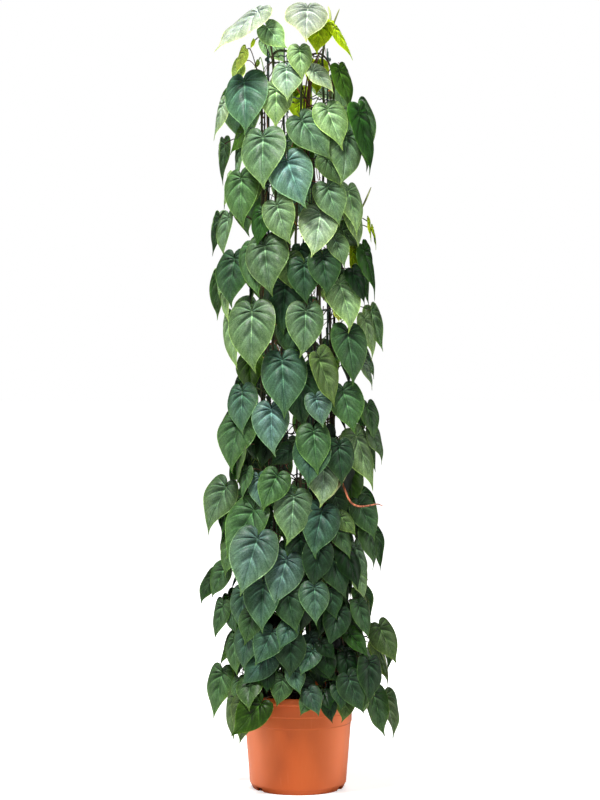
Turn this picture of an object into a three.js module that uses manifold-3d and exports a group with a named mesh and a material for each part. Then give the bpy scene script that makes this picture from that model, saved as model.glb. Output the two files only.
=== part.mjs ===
// A heart-leaf philodendron grown up a column of coated wire mesh, in a plastic nursery pot.
// Millimetres, +Z up, the front faces -Y. The origin is the centre of the pot's foot, on the ground.
import * as THREE from "three";
import { mergeVertices } from "three/addons/utils/BufferGeometryUtils.js";
import Module from "manifold-3d";

const wasm = await Module();
wasm.setup();

// Driving dimensions of the pot
const potHeight = 208;
const rimRadius = 135;
const rimBand = 15;
const bodyTopRadius = 118;
const highStep = 164;
const highStepRadius = 117;
const lowStep = 140;
const lowStepRadius = 112.5;
const heelHeight = 14;
const heelRadius = 102;
const footRadius = 96;
const potWall = 2.6;
const potFacets = 30;
const drainAngles = [-55, 65, 185];
const drainWidth = 21;
const drainHeight = 9;
const drainDepth = 16;

// Driving dimensions of the wire column
const columnRadius = 68;
const wireSize = 2.8;
const wireCount = 8;
const firstWire = 20;
const ringStep = 88;
const ringCount = 16;
const topRing = 1540;
const wireTop = 1560;
const wireFoot = 100;

// Driving dimensions of the plant
const soilTop = 190;
const fitGap = 0.3;
const climberCount = 9;
const climberRadius = 77.5;
const climberTop = 1536;
const stemFoot = 165;
const shootRadius = 86;
const shootTop = 452;
const stemSize = 3.2;
const petioleSize = 1.5;
const shortStalk = 42;
const bladeThickness = 1.8;
const wrapHeight = climberTop + 13;
const tallTop = 1600;
const tallLean = 0.3;

// How the leaves keep out of each other's way
const leafGap = 4;
const bladeClear = 4;
const rimMargin = 3;
const stemClear = 2;
const stalkClear = 4;
const leastSlant = 0.45;
const nearLeaf = 260;
const reachLimit = 120;
const behindCost = 2.2;
const backRoom = 40;
const backSkip = 4;
const leastDepth = 15;
const innerReach = -24;

// The rows of leaves are read off a view from this far and this high, at this depth
const viewDistance = 4690;
const viewHeight = 947;
const readDepth = 130;

const mergeDistance = 1e-4;
const finestDetail = 0.02;
const degrees = Math.PI / 180;
const materials = {
  pot: new THREE.MeshStandardMaterial({ color: 0xd0622f, roughness: 0.55, metalness: 0 }),
  soil: new THREE.MeshStandardMaterial({ color: 0x3a2a1e, roughness: 0.95, metalness: 0 }),
  wire: new THREE.MeshStandardMaterial({ color: 0x1d4a35, roughness: 0.45, metalness: 0 }),
  plant: new THREE.MeshStandardMaterial({ color: 0x3f6b4d, roughness: 0.5, metalness: 0 }),
};

// Solids

function toSolid(geometry) {
  const bare = geometry.clone();
  bare.deleteAttribute("normal");
  bare.deleteAttribute("uv");
  const merged = mergeVertices(bare, mergeDistance);
  return new wasm.Manifold(
    new wasm.Mesh({
      numProp: 3,
      vertProperties: new Float32Array(merged.attributes.position.array),
      triVerts: new Uint32Array(merged.index.array),
    }),
  );
}

function meshSolid(positions, faces) {
  const geometry = new THREE.BufferGeometry();
  geometry.setAttribute("position", new THREE.BufferAttribute(new Float32Array(positions), 3));
  geometry.setIndex(faces.flat());
  return toSolid(geometry);
}

// Fuses solids and keeps the largest shell alone, so no scrap and no sealed pocket is left
function joined(solids) {
  const { vertProperties, triVerts } = wasm.Manifold.union(solids).simplify(finestDetail).getMesh();
  const parent = Array.from({ length: vertProperties.length / 3 }, (_, i) => i);
  const find = (i) => {
    while (parent[i] !== i) i = parent[i] = parent[parent[i]];
    return i;
  };
  for (let i = 0; i < triVerts.length; i += 3) {
    parent[find(triVerts[i])] = find(triVerts[i + 1]);
    parent[find(triVerts[i + 1])] = find(triVerts[i + 2]);
  }
  const shells = new Map();
  for (let i = 0; i < triVerts.length; i += 3) {
    const shell = find(triVerts[i]);
    if (!shells.has(shell)) shells.set(shell, []);
    shells.get(shell).push([triVerts[i], triVerts[i + 1], triVerts[i + 2]]);
  }
  const [largest] = [...shells.values()].sort((p, q) => q.length - p.length);
  return meshSolid(vertProperties, largest);
}

function toGeometry(solid) {
  const mesh = solid.getMesh();
  const geometry = new THREE.BufferGeometry();
  geometry.setAttribute("position", new THREE.BufferAttribute(mesh.vertProperties, 3));
  geometry.setIndex(new THREE.BufferAttribute(mesh.triVerts, 1));
  geometry.computeVertexNormals();
  return geometry;
}

function lathe(profile, facets) {
  const points = profile.map(([r, z]) => new THREE.Vector2(r, z));
  return new THREE.LatheGeometry(points, facets).rotateX(Math.PI / 2);
}

function rod(radius, low, high, sides, angle, fromAxis) {
  const geometry = new THREE.CylinderGeometry(radius, radius, high - low, sides);
  geometry.rotateY(Math.PI / sides).rotateX(Math.PI / 2);
  geometry.translate(fromAxis, 0, (low + high) / 2).rotateZ(angle);
  return geometry;
}

// Pot: a tapered wall with two faint steps, a flat foot, a rim band and drain notches round the heel

function makePot() {
  const wallTop = potHeight - rimBand;
  const profile = [
    [0, 0],
    [footRadius, 0],
    [heelRadius, heelHeight],
    [lowStepRadius, lowStep],
    [lowStepRadius + 2, lowStep + 2],
    [highStepRadius - 2, highStep],
    [highStepRadius, highStep + 2],
    [bodyTopRadius, wallTop - 3],
    [rimRadius - 2, wallTop],
    [rimRadius, wallTop + 2],
    [rimRadius, potHeight - 2],
    [rimRadius - 2, potHeight],
    [rimRadius - potWall - 1, potHeight],
    [rimRadius - potWall - 2, wallTop + potWall],
    [bodyTopRadius - potWall, wallTop],
    [lowStepRadius - potWall, lowStep],
    [footRadius - potWall + 1, potWall],
    [0, potWall],
  ];
  let pot = toSolid(lathe(profile, potFacets));
  for (const angle of drainAngles) {
    const notch = new THREE.BoxGeometry(drainDepth, drainWidth, 2 * drainHeight);
    notch.translate(heelRadius + 4 - drainDepth / 2, 0, 0).rotateZ((angle - 90) * degrees);
    pot = pot.subtract(toSolid(notch));
  }
  return pot;
}

// Wire column: upright wires welded to square rings

function wireAngle(i) {
  return (firstWire - 90) * degrees + (i * 2 * Math.PI) / wireCount;
}

// One grid of shared corners: every crossing is a small block, whose faces the wires run between
function makeColumn() {
  const half = wireSize / 2;
  const heights = [wireFoot];
  for (let i = ringCount - 1; i >= 0; i--) heights.push(topRing - i * ringStep - half);
  for (let i = 0; i < ringCount; i++) heights.push(heights[i + 1] + wireSize);
  heights.push(wireTop);
  heights.sort((p, q) => p - q);
  const spread = half / columnRadius;
  const positions = [];
  const faces = [];
  const corner = (level, wire, edge, skin) => ((level * wireCount + wire) * 2 + edge) * 2 + skin;
  for (const z of heights) {
    for (let i = 0; i < wireCount; i++) {
      for (const edge of [-spread, spread]) {
        const angle = wireAngle(i) + edge;
        for (const radius of [columnRadius - half, columnRadius + half]) {
          positions.push(radius * Math.cos(angle), radius * Math.sin(angle), z);
        }
      }
    }
  }
  const quad = (p, q, r, t) => faces.push([p, q, r], [p, r, t]);
  const last = heights.length - 1;
  for (let i = 0; i < wireCount; i++) {
    const next = (i + 1) % wireCount;
    for (let k = 0; k < last; k++) {
      const level = [[0, 1], [1, 1], [1, 0], [0, 0]].map(([edge, skin]) => corner(k, i, edge, skin));
      const [a, b, c, d] = level;
      const [e, f, g, h] = level.map((index) => index + wireCount * 4);
      quad(a, b, f, e);
      quad(c, d, h, g);
      const isRing = k % 2 === 1;
      if (!isRing) {
        quad(b, c, g, f);
        quad(d, a, e, h);
        continue;
      }
      const [m, n] = [corner(k, next, 0, 1), corner(k, next, 0, 0)];
      const [o, p] = [m + wireCount * 4, n + wireCount * 4];
      quad(b, m, o, f);
      quad(n, c, g, p);
      quad(c, n, m, b);
      quad(f, o, p, g);
    }
    quad(corner(0, i, 0, 0), corner(0, i, 1, 0), corner(0, i, 1, 1), corner(0, i, 0, 1));
    quad(corner(last, i, 0, 1), corner(last, i, 1, 1), corner(last, i, 1, 0), corner(last, i, 0, 0));
  }
  return meshSolid(positions, faces);
}

// Leaves. Each row: x and z of the notch, x and z of the tip, the way the blade faces
// (degrees, 0 is the front and + is right), how far it tilts up, and its age (1 is full grown).

const innerRows = [
  [-15, 725, -60, 690, -5, 10],
  [-90, 765, -65, 685, -30, 12],
  [0, 880, 8, 765, -5, 8],
  [-15, 985, 4, 900, 0, 10],
  [-25, 1065, -35, 960, -8, 8],
  [-18, 1120, -5, 1045, -5, 10],
  [5, 1140, 12, 1085, 0, 10],
  [112, 1135, 118, 1080, 60, 5],
  [88, 1178, 130, 1140, 35, 10],
  [-88, 1275, -108, 1213, -40, 8],
];

const outerRows = [
  [-120, 215, -143, 123, -45, 15],
  [-100, 205, -116, 115, -35, 10],
  [-68, 203, -132, 130, -20, 18],
  [100, 215, 96, 163, 25, 20],
  [62, 208, 69, 158, 15, 15],
  [25, 213, 4, 177, 0, 30],
  [52, 225, 64, 190, 10, 40],
  [80, 240, 85, 190, 25, 30],
  [138, 222, 137, 182, 60, 20, 0],
  [155, 222, 182, 130, 55, 15],
  [140, 252, 125, 205, 70, 20],
  [-30, 252, -44, 193, -10, 15],
  [-60, 262, -62, 222, -15, 20],
  [88, 258, 123, 180, 35, 15],
  [122, 290, 125, 205, 45, 15],
  [-155, 266, -178, 170, -40, 18],
  [-10, 270, 3, 220, 0, 25],
  [40, 287, 82, 245, 10, 25, 0.3],
  [52, 302, 68, 250, 15, 20],
  [-60, 302, -117, 235, -20, 20],
  [135, 300, 176, 215, 65, 15],
  [95, 298, 113, 230, 30, 20],
  [100, 302, 138, 265, 35, 35],
  [30, 310, 4, 262, 0, 30],
  [-140, 320, -165, 275, -60, 20],
  [45, 325, 75, 293, 10, 25],
  [-15, 335, -12, 255, -5, 12],
  [-128, 335, -130, 262, -60, 15],
  [-95, 350, -115, 270, -30, 18],
  [148, 330, 161, 257, 75, 10],
  [100, 345, 145, 297, 30, 30],
  [-48, 350, -85, 280, -15, 22],
  [155, 360, 195, 283, 35, 20],
  [-15, 365, -38, 315, -5, 30],
  [-85, 388, -101, 322, -25, 18],
  [80, 392, 60, 322, 20, 18],
  [-140, 400, -134, 345, -55, 15],
  [-150, 405, -173, 330, -50, 15],
  [135, 412, 150, 345, 75, 10, 0.6],
  [115, 408, 141, 335, 40, 18],
  [65, 435, 75, 373, 15, 15],
  [-22, 432, -3, 348, -5, 18],
  [-108, 432, -119, 350, -30, 18],
  [32, 442, 34, 368, 5, 25],
  [-65, 450, -72, 350, -15, 18],
  [122, 470, 144, 412, 60, 12],
  [-150, 480, -185, 418, -50, 20],
  [-22, 500, -50, 403, -5, 20],
  [68, 505, 98, 415, 30, 15],
  [90, 520, 122, 437, 40, 20],
  [42, 525, 25, 440, 10, 12],
  [118, 525, 145, 450, 50, 15],
  [-130, 535, -158, 462, -45, 18],
  [5, 545, 12, 462, 0, 10],
  [135, 560, 158, 477, 60, 15],
  [80, 560, 112, 500, 30, 22],
  [85, 588, 123, 548, 30, 25],
  [-88, 602, -155, 503, -25, 22],
  [-70, 546, -108, 430, -15, 24],
  [50, 600, 28, 503, 10, 20],
  [125, 615, 165, 538, 40, 20],
  [-150, 600, -155, 525, -80, 10, 0.6],
  [-8, 630, -17, 528, -3, 20],
  [-143, 650, -193, 552, -40, 22],
  [-80, 668, -80, 602, -25, 18],
  [-42, 672, -77, 600, -10, 20],
  [-95, 682, -110, 620, -55, 15],
  [52, 690, 52, 606, 12, 22],
  [-103, 728, -120, 650, -70, 12],
  [78, 735, 88, 652, 25, 15],
  [28, 740, 20, 648, 5, 18],
  [118, 755, 165, 640, 50, 18],
  [140, 765, 176, 695, 60, 20],
  [30, 765, 38, 675, 8, 20],
  [-112, 785, -138, 680, -40, 20],
  [-55, 810, -55, 713, -12, 20],
  [130, 815, 148, 740, 55, 15],
  [35, 832, 52, 772, 10, 28],
  [-106, 846, -111, 757, -38, 18],
  [92, 848, 117, 757, 28, 20],
  [-33, 912, -27, 792, -5, 20],
  [25, 915, 68, 812, 50, 10],
  [130, 905, 161, 848, 60, 20],
  [98, 968, 117, 857, 30, 20],
  [135, 995, 165, 908, 60, 15],
  [-85, 1012, -90, 885, -18, 20],
  [16, 1012, 12, 913, 5, 20],
  [-130, 1000, -134, 887, -60, 12],
  [78, 1012, 87, 985, 30, 10, 0],
  [85, 1068, 118, 968, 30, 18],
  [-145, 1080, -150, 985, -70, 10],
  [-148, 1085, -163, 1033, -75, 10],
  [100, 1090, 132, 1022, 45, 15],
  [12, 1108, 15, 1022, 3, 14],
  [47, 1122, 62, 1040, 12, 20],
  [-120, 1120, -138, 1018, -38, 18],
  [-88, 1140, -88, 1037, -28, 16],
  [125, 1135, 165, 1032, 68, 15],
  [-68, 1145, -58, 1040, -22, 20],
  [72, 1157, 97, 1100, 30, 28],
  [143, 1195, 160, 1152, 78, 10, 0],
  [-140, 1203, -160, 1122, -62, 18],
  [108, 1215, 133, 1137, 50, 12],
  [-72, 1215, -85, 1140, -30, 15],
  [-42, 1228, -20, 1143, -30, 12],
  [102, 1258, 127, 1165, 48, 20],
  [58, 1265, 88, 1183, 15, 16],
  [48, 1212, 33, 1118, 5, 28],
  [-137, 1275, -171, 1227, -75, 10],
  [-112, 1285, -117, 1178, -38, 14],
  [-23, 1320, 12, 1218, -8, 22],
  [50, 1325, 88, 1262, 35, 12],
  [-125, 1345, -134, 1258, -70, 12],
  [92, 1368, 86, 1262, 28, 18],
  [-70, 1368, -73, 1257, -20, 22],
  [-112, 1378, -147, 1332, -65, 15, 0.7],
  [5, 1402, 68, 1318, 3, 20],
  [100, 1418, 136, 1288, 60, 12],
  [58, 1425, 92, 1340, 22, 24],
  [-152, 1435, -183, 1362, -70, 15],
  [-110, 1482, -106, 1370, -28, 22],
  [84, 1505, 112, 1420, 50, 15],
  [28, 1503, 78, 1460, 30, 35],
  [3, 1545, 8, 1480, 5, 18],
  [-24, 1508, -22, 1438, -8, 32],
  [-108, 1542, -133, 1497, -60, 10, 0],
  [-90, 1563, -99, 1546, -50, 10, 0.5],
  [72, 1592, 118, 1525, 60, 30, 0],
  [-65, 1592, -25, 1543, -10, 15],
  [-78, 1622, -174, 1542, -55, 50],
  [20, 1630, 15, 1558, 5, 48],
];

let seed = 20431;
function random(low, high) {
  seed = (seed * 1664525 + 1013904223) % 4294967296;
  return low + ((high - low) * seed) / 4294967296;
}

// The radius at which leaves hang, by height
function hangRadius(z) {
  const stops = [
    [200, 152],
    [300, 148],
    [480, 140],
    [800, 132],
    [1500, 122],
    [1700, 118],
  ];
  const above = Math.max(1, stops.findIndex(([height]) => height > z));
  const [z0, r0] = stops[above - 1];
  const [z1, r1] = stops[above];
  return r0 + ((r1 - r0) * Math.max(0, z - z0)) / (z1 - z0);
}

// Blade outline, right half: across in half widths, along in lengths from the notch to the tip
const outline = [
  [0.45, -0.13],
  [0.97, 0.04],
  [0.87, 0.45],
  [0.28, 0.83],
];
const ribSpot = 0.42;

function halfWidthAt(t) {
  if (t < -0.14 || t > 1) return -1;
  if (t < 0.2) return Math.sqrt(Math.max(0, 1 - ((0.2 - t) / 0.36) ** 2));
  return 1 - ((t - 0.2) / 0.8) ** 1.5;
}

function bladeRise(leaf, u, v) {
  const q = Math.min(1.1, Math.abs(u) / leaf.half);
  const t = v / leaf.length;
  const fold = leaf.cup * leaf.half * q * (1 - 0.35 * q) * (1 - 0.4 * t);
  return fold - leaf.droop * leaf.length * t * Math.abs(t);
}

function onBlade(leaf, u, v, lift = 0) {
  return leaf.base
    .clone()
    .addScaledVector(leaf.across, u)
    .addScaledVector(leaf.along, v)
    .addScaledVector(leaf.face, bladeRise(leaf, u, v) + lift);
}

function samplesOf(leaf) {
  const spots = [
    ...outline,
    [0.72, -0.06],
    [1, 0.22],
    [0.62, 0.64],
    [0.45, 0.05],
    [0.5, 0.3],
    [0.35, 0.55],
  ];
  const found = [-0.02, 0.2, 0.45, 0.7, 0.88, 1].map((t) => onBlade(leaf, 0, t * leaf.length));
  for (const [q, t] of spots) {
    for (const side of [-1, 1]) found.push(onBlade(leaf, side * q * leaf.half, t * leaf.length));
  }
  return found;
}

// How far along `way` a blade lies from a point, or null where the line misses the blade
function distanceTo(leaf, point, way) {
  const slant = way.dot(leaf.face);
  if (Math.abs(slant) < leastSlant / 3) return null;
  const reach = leaf.base.clone().sub(point).dot(leaf.face) / slant;
  const hit = point.clone().addScaledVector(way, reach).sub(leaf.base);
  const u = hit.dot(leaf.across);
  const v = hit.dot(leaf.along);
  if (Math.abs(u) > leaf.half * halfWidthAt(v / leaf.length) + rimMargin) return null;
  return reach + bladeRise(leaf, u, v) / slant;
}

function flatRadius(point) {
  return Math.hypot(point.x, point.y);
}

// The stretch of `way` in which a leaf would touch one that hangs already, or null
function blockedBy(other, leaf) {
  let low = Infinity;
  let high = -Infinity;
  for (const point of leaf.points) {
    const reach = distanceTo(other, point, leaf.way);
    if (reach === null || Math.abs(reach) > reachLimit) continue;
    low = Math.min(low, reach);
    high = Math.max(high, reach);
  }
  for (const point of other.points) {
    const reach = distanceTo(leaf, point, leaf.way);
    if (reach === null || Math.abs(reach) > reachLimit) continue;
    low = Math.min(low, -reach);
    high = Math.max(high, -reach);
  }
  if (high < low) return null;
  const slant = Math.min(Math.abs(leaf.way.dot(leaf.face)), Math.abs(leaf.way.dot(other.face)));
  const gap = leafGap / Math.max(leastSlant, slant);
  return [low - gap, high + gap];
}

// How far a leaf has to stand out for all of it to hang clear of the stems behind it and of the pot
function clearOfStems(leaf) {
  let least = -reachLimit;
  for (const point of leaf.points) {
    if (point.z > wireTop + 10) continue;
    let clear = point.z < shootTop ? shootRadius + 10 : climberRadius + 9;
    if (point.z < potHeight + 12) clear = rimRadius + 8;
    const across = point.x * leaf.way.x + point.y * leaf.way.y;
    const room = clear * clear - (flatRadius(point) ** 2 - across * across);
    if (room > 0) least = Math.max(least, Math.sqrt(room) - across);
  }
  return least;
}

// Each leaf hangs at the free depth nearest to where it would be, rather in front than behind
function hang(leaf, hung) {
  leaf.points = samplesOf(leaf);
  const blocked = [[-Infinity, clearOfStems(leaf)]];
  for (const other of hung) {
    if (other.base.distanceTo(leaf.base) > nearLeaf) continue;
    const stretch = blockedBy(other, leaf);
    if (stretch) blocked.push(stretch);
  }
  const isFree = (shift) => blocked.every(([low, high]) => shift <= low || shift >= high);
  const cost = (shift) => (shift < 0 ? -behindCost * shift : shift);
  const shifts = [0, ...blocked.flat()].filter((shift) => Number.isFinite(shift) && isFree(shift));
  leaf.shift = shifts.reduce((best, shift) => (cost(shift) < cost(best) ? shift : best));
  leaf.base.addScaledVector(leaf.way, leaf.shift);
  leaf.points.forEach((point) => point.addScaledVector(leaf.way, leaf.shift));
  if (leaf.isSpare && leaf.shift > backRoom) return;
  hung.push(leaf);
}

function makeLeaf([x, z, tipX, tipZ, yaw, pitch, age = 1], reach, isBack) {
  const turn = yaw * degrees;
  const tilt = pitch * degrees;
  const radius = reach + hangRadius(z);
  const depth = Math.sqrt(Math.max(radius * radius - x * x, leastDepth ** 2));
  const spread = (viewDistance - depth) / (viewDistance - readDepth);
  const face = new THREE.Vector3(
    Math.cos(tilt) * Math.sin(turn),
    -Math.cos(tilt) * Math.cos(turn),
    Math.sin(tilt),
  );
  const along = new THREE.Vector3(tipX - x, 0, tipZ - z);
  along.y = -along.dot(face) / Math.min(face.y, -leastSlant);
  along.addScaledVector(face, -along.dot(face));
  const leaf = {
    base: new THREE.Vector3(x * spread, -depth, viewHeight + (z - viewHeight) * spread),
    length: along.length() * spread,
    along: along.normalize(),
    face,
    age,
    isSpare: isBack,
    cup: random(-0.1, 0.26),
    droop: random(0.03, 0.1),
  };
  leaf.half = leaf.length * random(0.37, 0.42) * (0.8 + 0.2 * age);
  leaf.way = leaf.base.clone().setZ(0).normalize().add(face).setZ(0).normalize();
  if (isBack) {
    for (const vector of [leaf.base, leaf.along, leaf.face, leaf.way]) {
      vector.set(-vector.x, -vector.y, vector.z);
    }
  }
  leaf.across = new THREE.Vector3().crossVectors(leaf.along, leaf.face);
  return leaf;
}

function makeLeaves() {
  const hung = [];
  for (const row of innerRows) hang(makeLeaf(row, innerReach, false), hung);
  for (const row of outerRows) hang(makeLeaf(row, 0, false), hung);
  outerRows.forEach(([x, z, tipX, tipZ, yaw, pitch, age = 1], i) => {
    const shift = random(-10, 10);
    const rise = random(-22, 22);
    if (i % backSkip === 3 || pitch > 45) return;
    const low = Math.max(z + rise, 212);
    const copy = [-x + shift, low, -tipX + shift, low + tipZ - z, -yaw, pitch, age];
    hang(makeLeaf(copy, 0, true), hung);
  });
  return hung;
}

// Vines. Climbers stand against the wires, and short young shoots fill the foot of the plant.

function onVine(vine, z) {
  const loose = Math.min(1, Math.max(0, (z - soilTop - 20) / 150));
  const angle = vine.angle + vine.sway * loose * Math.sin(z / vine.swing + vine.phase);
  const radius = vine.radius + Math.max(0, z - climberTop) * tallLean;
  return new THREE.Vector3(radius * Math.sin(angle), -radius * Math.cos(angle), z);
}

// One climber bends over at its top and lies round the wires, across the front
function wrapPoints(vine) {
  const bends = [8, 20, 32, 44, 56].map((turn) => vine.angle + turn * degrees);
  const { radius } = vine;
  const round = bends.map(
    (angle) => new THREE.Vector3(radius * Math.sin(angle), -radius * Math.cos(angle), wrapHeight),
  );
  return [onVine(vine, vine.top - 10), onVine(vine, wrapHeight - 6), ...round];
}

function makeVines() {
  const turn = (2 * Math.PI) / climberCount;
  const grow = (kind, i, more) => ({
    name: `${kind}_${i + 1}`,
    swing: random(75, 120),
    phase: random(0, 2 * Math.PI),
    leaves: [],
    ...more,
  });
  const vines = [];
  for (let i = 0; i < climberCount; i++) {
    const top = i === 1 ? tallTop : climberTop - (i % 4) * 18;
    const more = { angle: i * turn, radius: climberRadius, top, step: 96, sway: 4.5 * degrees };
    vines.push(grow("climbing_vine", i, more));
  }
  vines[climberCount - 1].wraps = true;
  for (let i = 0; i < climberCount; i++) {
    const top = shootTop - 40 - (i % 2) * 60;
    const more = { angle: (i + 0.5) * turn, radius: shootRadius, top, step: 70, sway: 3 * degrees };
    vines.push(grow("young_shoot", i, { ...more, isShort: true }));
  }
  return vines;
}

function angleBetween(vine, point) {
  const away = Math.atan2(point.x, -point.y) - vine.angle;
  return Math.abs(Math.atan2(Math.sin(away), Math.cos(away)));
}

// Stalk: from the vine out and up to an elbow, then to the blade's notch
function stalkPoints(leaf, vine, drop, lift) {
  const root = Math.max(soilTop + 12, Math.min(leaf.base.z + drop, vine.top - 8));
  const start = onVine(vine, root);
  const elbow = leaf.base.clone().lerp(start, 0.35);
  elbow.z = leaf.base.z + lift;
  return [onBlade(leaf, 0, 0.01 * leaf.length), elbow, start];
}

function alongStalk(stalk) {
  const spots = [];
  for (let i = 1; i < stalk.length; i++) {
    const count = Math.ceil(stalk[i].distanceTo(stalk[i - 1]) / 4);
    for (let k = 0; k < count; k++) spots.push(stalk[i - 1].clone().lerp(stalk[i], k / count));
  }
  return spots;
}

function touchesBlade(leaf, spot) {
  const off = spot.clone().sub(leaf.base);
  const u = off.dot(leaf.across);
  const v = off.dot(leaf.along);
  if (Math.abs(u) > leaf.half * halfWidthAt(v / leaf.length) + rimMargin) return false;
  return Math.abs(off.dot(leaf.face) - bladeRise(leaf, u, v)) < bladeClear;
}

function touchesRim(spot) {
  const radius = flatRadius(spot);
  return spot.z < potHeight + 4 && radius > rimRadius - 8 && radius < rimRadius + 4;
}

function touchesStem(vine, spot) {
  const reach = stemSize + petioleSize + stemClear;
  if (vine.wraps && Math.abs(spot.z - wrapHeight) < reach && spot.y < 0) {
    if (Math.abs(flatRadius(spot) - vine.radius) < reach) return true;
  }
  if (spot.z > vine.top + 6) return false;
  return onVine(vine, spot.z).distanceTo(spot) < reach;
}

// What a stalk would run into: nothing, only leaves of its own vine, or something else
function stalkFault(leaf, vine, spots, leaves, vines) {
  let fault = 0;
  for (const spot of spots) {
    if (touchesRim(spot)) return 2;
    if (vines.some((other) => other !== vine && touchesStem(other, spot))) return 2;
    for (const other of leaves) {
      if (other === leaf || Math.abs(other.base.z - spot.z) > 190) continue;
      const isOwn = other.vine === vine;
      if (isOwn && fault) continue;
      const isCrossed =
        !isOwn && other.spots && other.spots.some((near) => near.distanceTo(spot) < stalkClear);
      const meets = isCrossed || touchesBlade(other, spot);
      if (meets && !isOwn) return 2;
      if (meets) fault = 1;
    }
  }
  return fault;
}

const stalkDrops = [-22, -8, -38, 8, -55, 24, -75, 40, -95, 58];
const stalkLifts = [12, 4, 22, 34];

function shareLeaves(vines, leaves) {
  for (const leaf of leaves) {
    const fits = vines.filter((vine) => (leaf.base.z < shootTop - 20) === Boolean(vine.isShort));
    leaf.choices = fits.sort((p, q) => angleBetween(p, leaf.base) - angleBetween(q, leaf.base));
    leaf.vine = leaf.choices[0];
  }
  for (const worst of [0, 1]) {
    for (const leaf of leaves) {
      if (leaf.stalk || (worst && leaf.isSpare)) continue;
      const options = leaf.choices.slice(0, 3).flatMap((vine) =>
        stalkDrops.flatMap((drop) => stalkLifts.map((lift) => [vine, drop, lift])),
      );
      for (const [vine, drop, lift] of options) {
        const stalk = stalkPoints(leaf, vine, drop, lift);
        const spots = alongStalk(stalk);
        if (stalkFault(leaf, vine, spots, leaves, vines) > worst) continue;
        leaf.vine = vine;
        leaf.stalk = stalk;
        leaf.spots = spots;
        break;
      }
    }
  }
  for (const leaf of leaves) if (leaf.stalk) leaf.vine.leaves.push(leaf);
}

function stemSolid(points, size, sides, steps) {
  const section = new THREE.Shape();
  for (let i = 0; i < sides; i++) {
    const angle = (i / sides) * 2 * Math.PI;
    const x = size * Math.cos(angle);
    const y = size * Math.sin(angle);
    if (i) section.lineTo(x, y);
    else section.moveTo(x, y);
  }
  const path = new THREE.CatmullRomCurve3(points);
  return toSolid(
    new THREE.ExtrudeGeometry(section, { steps, bevelEnabled: false, extrudePath: path }),
  );
}

// Three corners at each bend of a stalk and at its foot, turned with it from the blade's notch on
function stalkRings(path, across, add) {
  let side = across;
  return path.slice(1).map((centre, i) => {
    const way = centre.clone().sub(path[i]).normalize();
    if (path[i + 2]) way.add(path[i + 2].clone().sub(centre).normalize()).normalize();
    side = side.clone().addScaledVector(way, -way.dot(side)).normalize();
    const out = new THREE.Vector3().crossVectors(way, side);
    return [
      centre.clone().addScaledVector(side, -petioleSize),
      centre.clone().addScaledVector(side, petioleSize),
      centre.clone().addScaledVector(out, -petioleSize * 1.6),
    ].map(add);
  });
}

// A leaf and its stalk as one closed mesh: the stalk's three sides start at the blade's notch
function leafSolid(leaf) {
  const { length, half } = leaf;
  const points = [
    onBlade(leaf, -petioleSize, 0.01 * length),
    onBlade(leaf, petioleSize, 0.01 * length),
    onBlade(leaf, 0, 0.01 * length, -petioleSize * 1.7),
  ];
  const add = (point) => points.push(point) - 1;
  const ribTop = add(onBlade(leaf, 0, ribSpot * length));
  const ribUnder = add(onBlade(leaf, 0, ribSpot * length, -bladeThickness));
  const tip = add(onBlade(leaf, 0, length));
  const [left, right] = [-1, 1].map((side) =>
    outline.map(([q, t]) => add(onBlade(leaf, side * q * half, t * length))),
  );
  const [a, b, c] = [0, 1, 2];
  const faces = [[a, b, ribTop], [a, ribUnder, c], [c, ribUnder, b]];
  const halfBlade = (start, rim, rib, isTurned) => {
    const edge = [start, ...rim, tip];
    for (let i = 1; i < edge.length; i++) {
      const [p, q] = [edge[i - 1], edge[i]];
      faces.push(isTurned ? [p, rib, q] : [p, q, rib]);
    }
  };
  halfBlade(b, right, ribTop, false);
  halfBlade(a, left, ribTop, true);
  halfBlade(b, right, ribUnder, true);
  halfBlade(a, left, ribUnder, false);
  const isShort = leaf.base.distanceTo(leaf.stalk[2]) < shortStalk;
  const path = isShort ? [leaf.stalk[0], leaf.stalk[2]] : leaf.stalk;
  const rings = [[a, b, c], ...stalkRings(path, leaf.across, add)];
  for (let i = 1; i < rings.length; i++) {
    const [p, q] = [rings[i - 1], rings[i]];
    for (let k = 0; k < 3; k++) {
      const j = (k + 1) % 3;
      faces.push([p[j], p[k], q[k]], [p[j], q[k], q[j]]);
    }
  }
  faces.push(rings.at(-1).toReversed());
  return meshSolid(points.flatMap((p) => [p.x, p.y, p.z]), faces);
}

function vineSolid(vine) {
  const count = Math.round((vine.top - stemFoot) / vine.step);
  const rise = (vine.top - soilTop) / count;
  const heights = Array.from({ length: count }, (_, i) => soilTop + rise * (i + 1));
  const foot = onVine(vine, soilTop);
  const points = [foot.clone().setZ(stemFoot), foot, ...heights.map((z) => onVine(vine, z))];
  const solids = [stemSolid(points, stemSize, 4, count + 1), ...vine.leaves.map(leafSolid)];
  if (vine.wraps) solids.push(stemSolid(wrapPoints(vine), stemSize * 0.9, 4, 8));
  return joined(solids);
}

// Soil: fills the pot, with plain holes for the stems and wires

function makeSoil(vines) {
  const inner = lowStepRadius - potWall - fitGap;
  const profile = [
    [0, potWall + fitGap],
    [footRadius - potWall - 0.5, potWall + fitGap],
    [inner, lowStep],
    [inner + 4.5, soilTop - 1],
    [0, soilTop + 5],
  ];
  const holes = [];
  for (let i = 0; i < wireCount; i++) {
    holes.push(rod(wireSize, wireFoot - fitGap, soilTop + 20, 4, wireAngle(i), columnRadius));
  }
  for (const vine of vines) {
    const foot = onVine(vine, soilTop);
    const angle = Math.atan2(foot.y, foot.x);
    holes.push(rod(stemSize + 3, stemFoot - 2 * fitGap, soilTop + 20, 4, angle, vine.radius));
  }
  return toSolid(lathe(profile, potFacets)).subtract(wasm.Manifold.union(holes.map(toSolid)));
}

// The whole plant

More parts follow.
